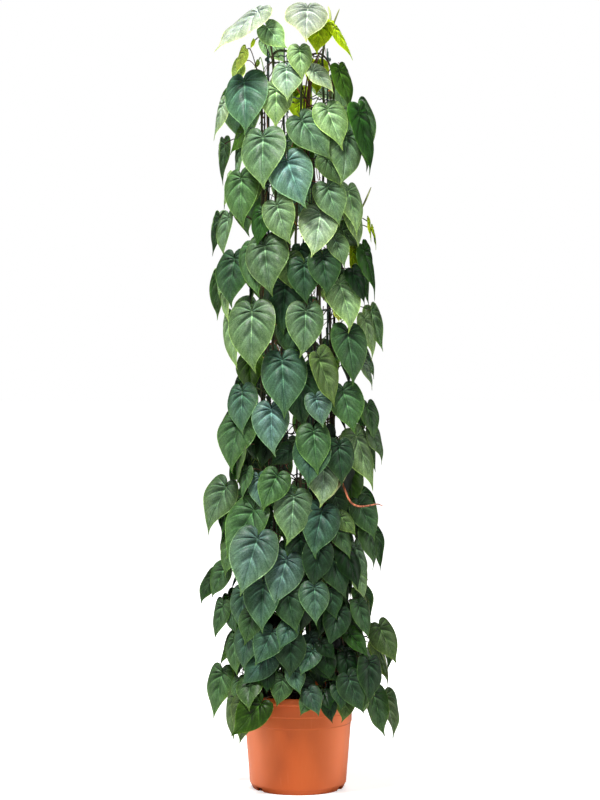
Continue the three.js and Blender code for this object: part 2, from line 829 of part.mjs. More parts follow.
const leaves = makeLeaves();
const vines = makeVines();
shareLeaves(vines, leaves);

const plant = new THREE.Group();
plant.name = "potted_philodendron";

function addNode(name, solid, material) {
  const mesh = new THREE.Mesh(toGeometry(solid), material);
  mesh.name = name;
  plant.add(mesh);
}

addNode("pot", makePot(), materials.pot);
addNode("soil", makeSoil(vines), materials.soil);
addNode("wire_column", makeColumn(), materials.wire);
for (const vine of vines) addNode(vine.name, vineSolid(vine), materials.plant);

export default plant;
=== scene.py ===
import math

import bpy
import numpy as np
from mathutils import Matrix, Vector


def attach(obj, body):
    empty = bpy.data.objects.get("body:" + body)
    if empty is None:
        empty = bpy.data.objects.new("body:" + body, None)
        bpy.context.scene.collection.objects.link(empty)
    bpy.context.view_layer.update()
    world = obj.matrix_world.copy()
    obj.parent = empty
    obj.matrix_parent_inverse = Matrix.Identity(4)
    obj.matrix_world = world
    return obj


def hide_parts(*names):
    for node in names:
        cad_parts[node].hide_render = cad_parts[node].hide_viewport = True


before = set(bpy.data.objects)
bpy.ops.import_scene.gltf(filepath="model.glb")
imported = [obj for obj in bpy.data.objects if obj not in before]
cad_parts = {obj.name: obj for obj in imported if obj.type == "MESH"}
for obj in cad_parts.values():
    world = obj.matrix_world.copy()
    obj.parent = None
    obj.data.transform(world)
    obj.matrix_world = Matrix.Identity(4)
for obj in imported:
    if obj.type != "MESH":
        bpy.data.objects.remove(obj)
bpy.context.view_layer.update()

# A heart-leaf philodendron grown up a column of coated wire mesh, in a plastic nursery pot.
# Sizes are in millimetres, as in the frame's own source, and mm turns them into metres.
# +Z is up, the front faces -Y, and the origin is the centre of the pot's foot.
mm = 0.001
degrees = math.pi / 180

potSizes = {
    "height": 208,
    "rimRadius": 135,
    "rimBand": 15,
    "topRadius": 118,
    "highStep": (117, 164),
    "lowStep": (112.5, 140),
    "heel": (102, 14),
    "footRadius": 96,
    "wall": 2.6,
    "corner": 1.4,
    "facets": 144,
    "sharp": 38,
    "tint": "#d0622f",
    "drainAngles": (-55, 65, 185),
    "drainWidth": 21,
    "drainHeight": 9,
    "drainDepth": 16,
}
columnSizes = {
    "radius": 68,
    "wire": 2.8,
    "count": 8,
    "first": 20,
    "ringStep": 88,
    "rings": 16,
    "topRing": 1540,
    "top": 1560,
    "foot": 100,
    "crimp": 1.7,
    "crimps": 26,
    "ringFacets": 156,
    "step": 30,
    "lean": 0.5,
    "leanLength": 70,
    "tint": "#1c3a2c",
}
plantSizes = {
    "soilTop": 190,
    "climbers": 9,
    "climberRadius": 77.5,
    "climberTop": 1536,
    "wrapHeight": 1549,
    "tallTop": 1600,
    "tallLean": 0.3,
    "stemFoot": 165,
    "climberStep": 18,
    "climberSway": 4.5,
    "shootRadius": 86,
    "shootTop": 452,
    "shootDrop": 40,
    "shootStep": 60,
    "shootSway": 3,
    "swing": (75, 120),
    "swayFoot": 20,
    "swayFade": 150,
    "stemSize": 3.2,
    "petioleSize": 1.5,
}

# How the leaves keep out of each other's way
hangRules = {
    "leafGap": 4,
    "bladeClear": 4,
    "rimMargin": 3,
    "stemClear": 2,
    "stalkClear": 4,
    "stalkStep": 4,
    "stalkLevel": 190,
    "climberClear": 9,
    "shootClear": 10,
    "rimClear": 8,
    "rimLevel": 12,
    "leastSlant": 0.45,
    "nearLeaf": 260,
    "reachLimit": 120,
    "behindCost": 2.2,
    "backRoom": 40,
    "backSkip": 4,
    "leastDepth": 15,
    "innerReach": -24,
}

# The leaves are read off a view from this far and this high, at this depth
viewDistance = 4690
viewHeight = 947
readDepth = 130

# Leaves from the bottom up, each hung in front of those before it: x and z of the notch, x and z of
# the tip, the way the blade faces (0 is the front and + is right), its upward tilt, its tone, its age.
innerRows = [
    (-15, 725, -60, 690, -5, 10, "deep"), (-90, 765, -65, 685, -30, 12, "deep"),
    (0, 880, 8, 765, -5, 8, "deep"), (-15, 985, 4, 900, 0, 10, "deep"),
    (-25, 1065, -35, 960, -8, 8, "deep"), (-18, 1120, -5, 1045, -5, 10, "olive"),
    (5, 1140, 12, 1085, 0, 10, "deep"), (112, 1135, 118, 1080, 60, 5, "fresh"),
    (88, 1178, 130, 1140, 35, 10, "olive"), (-88, 1275, -108, 1213, -40, 8, "olive"),
]

outerRows = [
    (-120, 215, -143, 123, -45, 15, "olive"), (-100, 205, -116, 115, -35, 10, "olive"),
    (-68, 203, -132, 130, -20, 18, "vivid"), (100, 215, 96, 163, 25, 20, "olive"),
    (62, 208, 69, 158, 15, 15, "deep"), (25, 213, 4, 177, 0, 30, "green"),
    (52, 225, 64, 190, 10, 40, "dark"), (80, 240, 85, 190, 25, 30, "deep"),
    (138, 222, 137, 182, 60, 20, "light", 0), (155, 222, 182, 130, 55, 15, "green"),
    (140, 252, 125, 205, 70, 20, "slate"), (-30, 252, -44, 193, -10, 15, "green"),
    (-60, 262, -62, 222, -15, 20, "dark"), (88, 258, 123, 180, 35, 15, "deep"),
    (122, 290, 125, 205, 45, 15, "deep"), (-155, 266, -178, 170, -40, 18, "green"),
    (-10, 270, 3, 220, 0, 25, "blue"), (40, 287, 82, 245, 10, 25, "dark", 0.3),
    (52, 302, 68, 250, 15, 20, "dark"), (-60, 302, -117, 235, -20, 20, "blue"),
    (135, 300, 176, 215, 65, 15, "pale"), (95, 298, 113, 230, 30, 20, "dark"),
    (100, 302, 138, 265, 35, 35, "deep"), (30, 310, 4, 262, 0, 30, "blue"),
    (-140, 320, -165, 275, -60, 20, "vivid"), (45, 325, 75, 293, 10, 25, "dark"),
    (-15, 335, -12, 255, -5, 12, "deep"), (-128, 335, -130, 262, -60, 15, "green"),
    (-95, 350, -115, 270, -30, 18, "blue"), (148, 330, 161, 257, 75, 10, "olive"),
    (100, 345, 145, 297, 30, 30, "moss"), (-48, 350, -85, 280, -15, 22, "blue"),
    (155, 360, 195, 283, 35, 20, "olive"), (-15, 365, -38, 315, -5, 30, "blue"),
    (-85, 388, -101, 322, -25, 18, "green"), (80, 392, 60, 322, 20, 18, "deep"),
    (-140, 400, -134, 345, -55, 15, "green"), (-150, 405, -173, 330, -50, 15, "green"),
    (135, 412, 150, 345, 75, 10, "olive", 0.6), (115, 408, 141, 335, 40, 18, "green"),
    (65, 435, 75, 373, 15, 15, "deep"), (-22, 432, -3, 348, -5, 18, "deep"),
    (-108, 432, -119, 350, -30, 18, "blue"), (32, 442, 34, 368, 5, 25, "blue"),
    (-65, 450, -72, 350, -15, 18, "blue"), (122, 470, 144, 412, 60, 12, "light"),
    (-150, 480, -185, 418, -50, 20, "green"), (-22, 500, -50, 403, -5, 20, "steel"),
    (68, 505, 98, 415, 30, 15, "deep"), (90, 520, 122, 437, 40, 20, "dark"),
    (42, 525, 25, 440, 10, 12, "deep"), (118, 525, 145, 450, 50, 15, "slate"),
    (-130, 535, -158, 462, -45, 18, "green"), (5, 545, 12, 462, 0, 10, "deep"),
    (135, 560, 158, 477, 60, 15, "green"), (80, 560, 112, 500, 30, 22, "green"),
    (85, 588, 123, 548, 30, 25, "olive"), (-88, 602, -155, 503, -25, 22, "green"),
    (-70, 546, -108, 430, -15, 24, "steel"), (50, 600, 28, 503, 10, 20, "blue"),
    (125, 615, 165, 538, 40, 20, "green"), (-150, 600, -155, 525, -80, 10, "moss", 0.6),
    (-8, 630, -17, 528, -3, 20, "slate"), (-143, 650, -193, 552, -40, 22, "slate"),
    (-80, 668, -80, 602, -25, 18, "steel"), (-42, 672, -77, 600, -10, 20, "green"),
    (-95, 682, -110, 620, -55, 15, "green"), (52, 690, 52, 606, 12, 22, "mint"),
    (-103, 728, -120, 650, -70, 12, "olive"), (78, 735, 88, 652, 25, 15, "deep"),
    (28, 740, 20, 648, 5, 18, "blue"), (118, 755, 165, 640, 50, 18, "light"),
    (140, 765, 176, 695, 60, 20, "slate"), (30, 765, 38, 675, 8, 20, "green"),
    (-112, 785, -138, 680, -40, 20, "green"), (-55, 810, -55, 713, -12, 20, "steel"),
    (130, 815, 148, 740, 55, 15, "green"), (35, 832, 52, 772, 10, 28, "steel"),
    (-106, 846, -111, 757, -38, 18, "blue"), (92, 848, 117, 757, 28, 20, "green"),
    (-33, 912, -27, 792, -5, 20, "blue"), (25, 915, 68, 812, 50, 10, "olive"),
    (130, 905, 161, 848, 60, 20, "mint"), (98, 968, 117, 857, 30, 20, "green"),
    (135, 995, 165, 908, 60, 15, "light"), (-85, 1012, -90, 885, -18, 20, "slate"),
    (16, 1012, 12, 913, 5, 20, "slate"), (-130, 1000, -134, 887, -60, 12, "light"),
    (78, 1012, 87, 985, 30, 10, "lime", 0), (85, 1068, 118, 968, 30, 18, "light"),
    (-145, 1080, -150, 985, -70, 10, "light"), (-148, 1085, -163, 1033, -75, 10, "light"),
    (100, 1090, 132, 1022, 45, 15, "dark"), (12, 1108, 15, 1022, 3, 14, "deep"),
    (47, 1122, 62, 1040, 12, 20, "deep"), (-120, 1120, -138, 1018, -38, 18, "deep"),
    (-88, 1140, -88, 1037, -28, 16, "green"), (125, 1135, 165, 1032, 68, 15, "moss"),
    (-68, 1145, -58, 1040, -22, 20, "slate"), (72, 1157, 97, 1100, 30, 28, "slate"),
    (143, 1195, 160, 1152, 78, 10, "fresh", 0), (-140, 1203, -160, 1122, -62, 18, "slate"),
    (108, 1215, 133, 1137, 50, 12, "light"), (-72, 1215, -85, 1140, -30, 15, "moss"),
    (-42, 1228, -20, 1143, -30, 12, "slate"), (102, 1258, 127, 1165, 48, 20, "light"),
    (58, 1265, 88, 1183, 15, 16, "slate"), (48, 1212, 33, 1118, 5, 28, "mint"),
    (-137, 1275, -171, 1227, -75, 10, "light"), (-112, 1285, -117, 1178, -38, 14, "green"),
    (-23, 1320, 12, 1218, -8, 22, "steel"), (50, 1325, 88, 1262, 35, 12, "olive"),
    (-125, 1345, -134, 1258, -70, 12, "slate"), (92, 1368, 86, 1262, 28, 18, "slate"),
    (-70, 1368, -73, 1257, -20, 22, "slate"), (-112, 1378, -147, 1332, -65, 15, "vivid", 0.7),
    (5, 1402, 68, 1318, 3, 20, "slate"), (100, 1418, 136, 1288, 60, 12, "moss"),
    (58, 1425, 92, 1340, 22, 24, "light"), (-152, 1435, -183, 1362, -70, 15, "mint"),
    (-110, 1482, -106, 1370, -28, 22, "blue"), (84, 1505, 112, 1420, 50, 15, "vivid"),
    (28, 1503, 78, 1460, 30, 35, "pale"), (3, 1545, 8, 1480, 5, 18, "light"),
    (-24, 1508, -22, 1438, -8, 32, "mint"), (-108, 1542, -133, 1497, -60, 10, "lime", 0),
    (-90, 1563, -99, 1546, -50, 10, "fresh", 0.5), (72, 1592, 118, 1525, 60, 30, "fresh", 0),
    (-65, 1592, -25, 1543, -10, 15, "light"), (-78, 1622, -174, 1542, -55, 50, "white"),
    (20, 1630, 15, 1558, 5, 48, "white"),
]

# Between what the leaves' widths, cups and droops lie, and how wide the youngest are beside the rest
leafSpread = {"half": (0.37, 0.42), "cup": (-0.1, 0.26), "droop": (0.03, 0.1), "youngest": 0.8}
# How the leaves at the back differ from the front's, which they follow
backRules = {"shift": 10, "rise": 22, "lowest": 212, "steepest": 45}

# The radius at which leaves hang, by height
hangStops = [(200, 152), (300, 148), (480, 140), (800, 132), (1500, 122), (1700, 118)]

print("frame loaded, laying out the leaves")

draw = {"seed": 20431}


def random(low, high):
    draw["seed"] = (draw["seed"] * 1664525 + 1013904223) % 4294967296
    return low + (high - low) * draw["seed"] / 4294967296


def unit(vector):
    return vector / np.linalg.norm(vector)


def hangRadius(z):
    above = next((i for i, (height, _) in enumerate(hangStops) if height > z), 1)
    above = max(1, above)
    (z0, r0), (z1, r1) = hangStops[above - 1], hangStops[above]
    return r0 + (r1 - r0) * max(0, z - z0) / (z1 - z0)


# Half width of a blade, in half widths, at t lengths from its notch
def halfWidthAt(t):
    lobe = np.sqrt(np.maximum(0, 1 - ((0.2 - t) / 0.36) ** 2))
    body = 1 - (np.maximum(0, t - 0.2) / 0.8) ** 1.5
    return np.where((t < -0.14) | (t > 1), -1, np.where(t < 0.2, lobe, body))


# How far a blade stands off its own flat plane: cupped across and drooping along
def bladeRise(leaf, u, v):
    q = np.minimum(1.1, np.abs(u) / leaf["half"])
    t = v / leaf["length"]
    fold = leaf["cup"] * leaf["half"] * q * (1 - 0.35 * q) * (1 - 0.4 * t)
    return fold - leaf["droop"] * leaf["length"] * t * np.abs(t)


def onBlade(leaf, u, v, lift=0):
    u, v = np.atleast_1d(u).astype(float), np.atleast_1d(v).astype(float)
    rise = bladeRise(leaf, u, v) + lift
    across = np.outer(u, leaf["across"]) + np.outer(v, leaf["along"])
    return leaf["base"] + across + np.outer(rise, leaf["face"])


# Where a blade is felt for its neighbours: half widths and lengths off the notch, and along its rib
sampleSpots = [
    (0.45, -0.13), (0.97, 0.04), (0.87, 0.45), (0.28, 0.83), (0.72, -0.06),
    (1, 0.22), (0.62, 0.64), (0.45, 0.05), (0.5, 0.3), (0.35, 0.55),
]
ribSpots = [-0.02, 0.2, 0.45, 0.7, 0.88, 1]


def samplesOf(leaf):
    q = [0] * len(ribSpots) + [side * q for q, _ in sampleSpots for side in (-1, 1)]
    t = ribSpots + [t for _, t in sampleSpots for _ in range(2)]
    return onBlade(leaf, np.array(q) * leaf["half"], np.array(t) * leaf["length"])


# How far along a direction a blade lies from each point that would meet it
def reachesTo(leaf, points, way):
    slant = float(way @ leaf["face"])
    if abs(slant) < hangRules["leastSlant"] / 3:
        return np.empty(0)
    reach = (leaf["base"] - points) @ leaf["face"] / slant
    hit = points + np.outer(reach, way) - leaf["base"]
    u, v = hit @ leaf["across"], hit @ leaf["along"]
    inside = np.abs(u) <= leaf["half"] * halfWidthAt(v / leaf["length"]) + hangRules["rimMargin"]
    reach = reach + bladeRise(leaf, u, v) / slant
    return reach[inside & (np.abs(reach) <= hangRules["reachLimit"])]


def blockedBy(other, leaf):
    ahead = reachesTo(other, leaf["points"], leaf["way"])
    behind = -reachesTo(leaf, other["points"], leaf["way"])
    met = np.concatenate([ahead, behind])
    if not len(met):
        return None
    slant = min(abs(leaf["way"] @ leaf["face"]), abs(leaf["way"] @ other["face"]))
    gap = hangRules["leafGap"] / max(hangRules["leastSlant"], slant)
    return (met.min() - gap, met.max() + gap)


# How far a leaf has to stand out for all of it to hang clear of the stems and of the pot
def clearOfStems(leaf):
    points, rules = leaf["points"], hangRules
    z = points[:, 2]
    climberClear = plantSizes["climberRadius"] + rules["climberClear"]
    shootClear = plantSizes["shootRadius"] + rules["shootClear"]
    rimClear = potSizes["rimRadius"] + rules["rimClear"]
    clear = np.where(z < plantSizes["shootTop"], shootClear, climberClear)
    clear = np.where(z < potSizes["height"] + rules["rimLevel"], rimClear, clear)
    across = points[:, :2] @ leaf["way"][:2]
    room = clear**2 - ((points[:, :2] ** 2).sum(1) - across**2)
    held = (room > 0) & (z <= columnSizes["top"] + 10)
    least = np.sqrt(np.maximum(room, 0)) - across
    return max([-rules["reachLimit"], *least[held]])


# Each leaf hangs at the free depth nearest to where it would be, rather in front than behind
def hang(leaf, hung, room=None):
    leaf["points"] = samplesOf(leaf)
    blocked = [(-math.inf, clearOfStems(leaf))]
    for other in hung:
        if np.linalg.norm(other["base"] - leaf["base"]) > hangRules["nearLeaf"]:
            continue
        stretch = blockedBy(other, leaf)
        if stretch:
            blocked.append(stretch)
    shifts = [0, *(end for stretch in blocked for end in stretch if math.isfinite(end))]
    free = [s for s in shifts if all(s <= low or s >= high for low, high in blocked)]
    shift = min(free, key=lambda s: -hangRules["behindCost"] * s if s < 0 else s)
    if room is not None and (shift > room[1] or shift < room[0]):
        return False
    leaf["base"] = leaf["base"] + leaf["way"] * shift
    leaf["points"] = leaf["points"] + leaf["way"] * shift
    hung.append(leaf)
    return True


def facing(turn, tilt):
    flat = math.cos(tilt)
    return np.array([flat * math.sin(turn), -flat * math.cos(turn), math.sin(tilt)])


def flatWay(base, face):
    out = unit(np.array([base[0], base[1], 0.0])) + face
    return unit(np.array([out[0], out[1], 0.0]))


def makeLeaf(row, reach, isBack):
    x, z, tipX, tipZ, yaw, pitch, tone, *rest = row
    age = rest[0] if rest else 1
    turn, tilt = yaw * degrees, pitch * degrees
    radius = reach + hangRadius(z)
    depth = math.sqrt(max(radius * radius - x * x, hangRules["leastDepth"] ** 2))
    spread = (viewDistance - depth) / (viewDistance - readDepth)
    face = facing(turn, tilt)
    along = np.array([tipX - x, 0.0, tipZ - z])
    along[1] = -(along @ face) / min(face[1], -hangRules["leastSlant"])
    along = along - face * (along @ face)
    leaf = {
        "base": np.array([x * spread, -depth, viewHeight + (z - viewHeight) * spread]),
        "length": np.linalg.norm(along) * spread,
        "along": unit(along),
        "face": face,
        "tone": tone,
        "isSpare": isBack,
        "cup": random(*leafSpread["cup"]),
        "droop": random(*leafSpread["droop"]),
    }
    youngest = leafSpread["youngest"]
    leaf["half"] = leaf["length"] * random(*leafSpread["half"]) * (youngest + (1 - youngest) * age)
    leaf["way"] = flatWay(leaf["base"], face)
    if isBack:
        for key in ("base", "along", "face", "way"):
            leaf[key] = leaf[key] * np.array([-1, -1, 1])
    leaf["across"] = np.cross(leaf["along"], leaf["face"])
    return leaf


def makeLeaves():
    hung = []
    for row in innerRows:
        hang(makeLeaf(row, hangRules["innerReach"], False), hung)
    for row in outerRows:
        hang(makeLeaf(row, 0, False), hung)
    for i, (x, z, tipX, tipZ, yaw, pitch, *rest) in enumerate(outerRows):
        shift = random(-backRules["shift"], backRules["shift"])
        rise = random(-backRules["rise"], backRules["rise"])
        if i % hangRules["backSkip"] == 3 or pitch > backRules["steepest"]:
            continue
        low = max(z + rise, backRules["lowest"])
        copy = (-x + shift, low, -tipX + shift, low + tipZ - z, -yaw, pitch, *rest)
        hang(makeLeaf(copy, 0, True), hung, room=(-math.inf, hangRules["backRoom"]))
    return hung


# Points round the column's axis, with angle 0 at the front
def aroundAxis(radius, angle, z):
    return np.stack(np.broadcast_arrays(radius * np.sin(angle), -radius * np.cos(angle), z), axis=-1)


def onVine(vine, z):
    z = np.asarray(z, dtype=float)
    loose = np.clip((z - plantSizes["soilTop"] - plantSizes["swayFoot"]) / plantSizes["swayFade"], 0, 1)
    angle = vine["angle"] + vine["sway"] * loose * np.sin(z / vine["swing"] + vine["phase"])
    lean = np.maximum(0, z - plantSizes["climberTop"]) * plantSizes["tallLean"]
    radius = vine["radius"] + lean
    return aroundAxis(radius, angle, z)


def makeVines():
    vines = []

    def addVine(name, angle, top, radius, sway, isShort):
        vine = {"name": name, "angle": angle, "top": top, "radius": radius, "sway": sway * degrees}
        vine.update(swing=random(*plantSizes["swing"]), phase=random(0, 2 * math.pi))
        vine.update(isShort=isShort, wraps=False, index=len(vines), leaves=[])
        vines.append(vine)

    p = plantSizes
    turn = 2 * math.pi / p["climbers"]
    for i in range(p["climbers"]):
        top = p["tallTop"] if i == 1 else p["climberTop"] - (i % 4) * p["climberStep"]
        addVine(f"climbing_vine_{i + 1}", i * turn, top, p["climberRadius"], p["climberSway"], False)
    vines[-1]["wraps"] = True
    for i in range(p["climbers"]):
        top = p["shootTop"] - p["shootDrop"] - (i % 2) * p["shootStep"]
        addVine(f"young_shoot_{i + 1}", (i + 0.5) * turn, top, p["shootRadius"], p["shootSway"], True)
    return vines


def angleBetween(vine, point):
    away = math.atan2(point[0], -point[1]) - vine["angle"]
    return abs(math.atan2(math.sin(away), math.cos(away)))


# Heights over its leaf at which a stalk may leave the vine, and over it at which its elbow may lie
stalkRules = {
    "drops": (-22, -8, -38, 8, -55, 24, -75, 40, -95, 58),
    "lifts": (12, 4, 22, 34),
    "overSoil": 12,
    "underTop": 8,
    "elbow": 0.35,
    "inset": 0.01,
    "nearVines": 3,
    "lowMargin": 20,
}


# Stalk: from the vine out and up to an elbow, then to the blade's notch
def stalkPoints(leaf, vine, drop, lift):
    rules = stalkRules
    highest = vine["top"] - rules["underTop"]
    root = max(plantSizes["soilTop"] + rules["overSoil"], min(leaf["base"][2] + drop, highest))
    start = onVine(vine, root)
    elbow = leaf["base"] + (start - leaf["base"]) * rules["elbow"]
    elbow[2] = leaf["base"][2] + lift
    return [onBlade(leaf, 0, rules["inset"] * leaf["length"])[0], elbow, start]


def alongStalk(stalk):
    spots = []
    for p, q in zip(stalk, stalk[1:]):
        count = math.ceil(np.linalg.norm(q - p) / hangRules["stalkStep"])
        spots.append(p + np.outer(np.arange(count) / count, q - p))
    return np.concatenate(spots)


# Blades as arrays, so that a stalk is tried against all of them at once
def bladeArrays(leaves):
    made = {key: np.array([leaf[key] for leaf in leaves]) for key in ("base", "across", "along", "face")}
    for key in ("half", "length", "cup", "droop"):
        made[key] = np.array([leaf[key] for leaf in leaves])[None, :]
    return made


def touchesBlades(blades, spots):
    off = spots[:, None, :] - blades["base"][None]
    u = (off * blades["across"]).sum(2)
    v = (off * blades["along"]).sum(2)
    w = (off * blades["face"]).sum(2)
    edge = blades["half"] * halfWidthAt(v / blades["length"]) + hangRules["rimMargin"]
    near = np.abs(w - bladeRise(blades, u, v)) < hangRules["bladeClear"]
    level = np.abs(blades["base"][None, :, 2] - spots[:, None, 2]) <= hangRules["stalkLevel"]
    return ((np.abs(u) <= edge) & near & level).any(0)


def touchesRim(spots):
    out = np.hypot(spots[:, 0], spots[:, 1]) - potSizes["rimRadius"]
    clear = hangRules["stalkClear"]
    return ((spots[:, 2] < potSizes["height"] + clear) & (out > -2 * clear) & (out < clear)).any()


def touchesStem(vine, spots):
    reach = plantSizes["stemSize"] + plantSizes["petioleSize"] + hangRules["stemClear"]
    gaps = np.linalg.norm(onVine(vine, spots[:, 2]) - spots, axis=1)
    if ((gaps < reach) & (spots[:, 2] <= vine["top"] + 6)).any():
        return True
    if not vine["wraps"]:
        return False
    level = np.abs(spots[:, 2] - plantSizes["wrapHeight"]) < reach
    level &= np.abs(np.hypot(spots[:, 0], spots[:, 1]) - vine["radius"]) < reach
    return (level & (spots[:, 1] < 0)).any()


# The stalks laid so far, as one array of points with each point's leaf height and vine
def laidStalks(leaves):
    laid = [leaf for leaf in leaves if "stalk" in leaf]
    if not laid:
        return None
    counts = [len(leaf["spots"]) for leaf in laid]
    heights = np.repeat([leaf["base"][2] for leaf in laid], counts)
    owners = np.repeat([leaf["vine"]["index"] for leaf in laid], counts)
    return np.concatenate([leaf["spots"] for leaf in laid]), heights, owners


def touchesStalks(laid, vine, spots):
    if laid is None:
        return False
    points, heights, owners = laid
    clear = hangRules["stalkClear"]
    near = (points[:, 2] > spots[:, 2].min() - clear) & (points[:, 2] < spots[:, 2].max() + clear)
    near &= owners != vine["index"]
    gaps = np.linalg.norm(points[near][:, None] - spots[None], axis=2)
    level = np.abs(heights[near][:, None] - spots[None, :, 2]) <= hangRules["stalkLevel"]
    return ((gaps < clear) & level).any()


# What a stalk would run into: nothing, only leaves of its own vine, or something else
def stalkFault(leaf, vine, spots, blades, laid, owners, vines):
    if touchesRim(spots) or touchesStalks(laid, vine, spots):
        return 2
    if any(other is not vine and touchesStem(other, spots) for other in vines):
        return 2
    touched = touchesBlades(blades, spots)
    touched[leaf["index"]] = False
    own = owners == vine["index"]
    return 2 if (touched & ~own).any() else int((touched & own).any())


# Each leaf gets a stalk from the nearest vine that can reach its notch
def shareLeaves(vines, leaves):
    rules = stalkRules
    ways = [(drop, lift) for drop in rules["drops"] for lift in rules["lifts"]]
    for i, leaf in enumerate(leaves):
        isLow = leaf["base"][2] < plantSizes["shootTop"] - rules["lowMargin"]
        fits = [vine for vine in vines if vine["isShort"] == isLow]
        leaf["index"] = i
        if "stalk" not in leaf:
            leaf["choices"] = sorted(fits, key=lambda vine: angleBetween(vine, leaf["base"]))
            leaf["vine"] = leaf["choices"][0]
    blades = bladeArrays(leaves)
    owners = np.array([leaf["vine"]["index"] for leaf in leaves])
    laid = laidStalks(leaves)
    for worst in (0, 1):
        for leaf in leaves:
            if "stalk" in leaf or (worst and leaf["isSpare"]):
                continue
            nearVines = leaf["choices"][: rules["nearVines"]]
            for vine, drop, lift in ((vine, *way) for vine in nearVines for way in ways):
                stalk = stalkPoints(leaf, vine, drop, lift)
                spots = alongStalk(stalk)
                if stalkFault(leaf, vine, spots, blades, laid, owners, vines) > worst:
                    continue
                leaf.update(vine=vine, stalk=stalk, spots=spots)
                owners[leaf["index"]] = vine["index"]
                laid = laidStalks(leaves)
                break


leaves = makeLeaves()
vines = makeVines()
shareLeaves(vines, leaves)
leaves = [leaf for leaf in leaves if "stalk" in leaf]
print(f"{len(leaves)} leaves of the frame laid out")

# Small leaves of the deep tone close to the column fill the depth between the frame's own leaves; their tint
# is darkened further as painted shade, most of all low down
understory = {
    "levels": (222, 1500, 36),
    "perLevel": 5,
    "radius": (92, 104),
    "length": (66, 98),
    "yaw": 32,
    "pitch": (-4, 26),
    "roll": 28,
    "room": (-10, 16),
    "thinFrom": (720, 480),
    # Painted shade: tint darkest low in the column, lighter higher up
    "shade": (0.11, 0.5),
    "tones": ("deep",),
}
# Smaller ones crowd the foot of the plant
footLeaves = {
    "levels": (216, 640, 22),
    "perLevel": 7,
    "radius": (100, 126),
    "length": (50, 78),
    "yaw": 34,
    "pitch": (0, 34),
    "roll": 32,
    "room": (-16, 24),
    # Painted shade: tint darkened, most of all low down
    "shade": (0.55, 0.8),
    "tones": ("deep", "deep", "green", "blue"),
}
# Small ones hang over the pot's rim
rimLeaves = {
    "levels": (224, 330, 15),
    "perLevel": 9,
    "radius": (106, 128),
    "length": (48, 74),
    "yaw": 30,
    "pitch": (5, 42),
    "roll": 30,
    "room": (-14, 48),
    # Painted shade: tint a little darkened
    "shade": (0.85, 0.85),
    "tones": ("deep", "deep", "green", "blue"),
}
# Young leaves between and behind the wires, with the radius at which each hangs. The bright yellow-green ones
# stand partly for light shining through them, as painted glow
glowRows = [
    (96, (45, 1600, 36, 1532, 15, 20, "fresh")),
    (52, (38, 1516, 40, 1450, 0, 8, "fresh")),
    (30, (2, 1460, 4, 1388, 0, 6, "fresh")),
    (92, (-44, 1466, -46, 1382, -15, 10, "light")),
    (60, (10, 1352, 14, 1290, 0, 6, "vivid")),
    (96, (-100, 914, -98, 836, -40, 12, "vivid")),
    (100, (100, 694, 112, 594, 30, 15, "vivid")),
]


# What all the small inner leaves share
innerSpread = {
    "half": (0.36, 0.42),
    "cup": (-0.1, 0.2),
    "droop": (0.03, 0.1),
    "levelTurn": 2.4,
    "turn": 0.2,
    "level": 12,
    "shadeLevels": (220, 1500),
    "strayFacing": 0.35,
    "strayRadius": 148,
}


def makeInnerLeaf(u, angle, z):
    out = np.array([math.sin(angle), -math.cos(angle), 0.0])
    turn = angle + random(-u["yaw"], u["yaw"]) * degrees
    tilt = random(*u["pitch"]) * degrees
    face = facing(turn, tilt)
    down = unit(np.array([0.0, 0.0, -1.0]) + face * face[2])
    roll = random(-u["roll"], u["roll"]) * degrees
    along = down * math.cos(roll) + np.cross(face, down) * math.sin(roll)
    leaf = {
        "base": out * random(*u["radius"]) + np.array([0, 0, z]),
        "length": random(*u["length"]),
        "along": along,
        "face": face,
        "tone": u["tones"][int(random(0, len(u["tones"])))],
        # Painted shade of a leaf deep in the column, by its height
        "shade": np.interp(z, innerSpread["shadeLevels"], u["shade"]),
        "isSpare": False,
        "isInner": True,
        "cup": random(*innerSpread["cup"]),
        "droop": random(*innerSpread["droop"]),
    }
    leaf["half"] = leaf["length"] * random(*innerSpread["half"])
    leaf["way"] = flatWay(leaf["base"], face)
    leaf["across"] = np.cross(along, face)
    return leaf


# An inner leaf that would show its bare edge outside the others is left out
def isStray(leaf):
    tip = leaf["base"] + leaf["along"] * leaf["length"]
    isEdgeOn = abs(leaf["face"][1]) < innerSpread["strayFacing"]
    return isEdgeOn and np.hypot(tip[0], tip[1]) > innerSpread["strayRadius"]


def makeUnderstory(u, hung):
    spread = innerSpread
    found = []
    low, high, step = u["levels"]
    for level, z in enumerate(range(low, high, step)):
        for k in range(u["perLevel"]):
            angle = level * spread["levelTurn"] + k * 2 * math.pi / u["perLevel"]
            angle += random(-spread["turn"], spread["turn"])
            leaf = makeInnerLeaf(u, angle, z + random(-spread["level"], spread["level"]))
            start, span = u.get("thinFrom", (math.inf, 1))
            isLeftOut = random(0, 1) < (z - start) / span
            if isLeftOut or not hang(leaf, hung, room=u["room"]):
                continue
            if isStray(leaf):
                hung.pop()
            else:
                found.append(leaf)
    return found


innerLeaves = []
for radius, row in glowRows:
    glowLeaf = makeLeaf(row, radius - hangRadius(row[1]), False)
    glowLeaf["points"] = samplesOf(glowLeaf)
    leaves.append(glowLeaf)
    innerLeaves.append(glowLeaf)
innerLeaves += makeUnderstory(rimLeaves, leaves)
innerLeaves += makeUnderstory(footLeaves, leaves)
innerLeaves += makeUnderstory(understory, leaves)
shareLeaves(vines, leaves)
for leaf in leaves:
    if "stalk" in leaf:
        leaf["vine"]["leaves"].append(leaf)
    elif any(leaf is other for other in innerLeaves[: len(glowRows)]):
        print("no stalk for the young leaf at", leaf["base"].round())
print(f"{sum('stalk' in leaf for leaf in innerLeaves)} of {len(innerLeaves)} inner leaves added")

# Mesh parts. Each is a dictionary: points in millimetres, the corners of its faces one after
# another, each face's number of corners, a texture place for each corner, its tint and its finish.


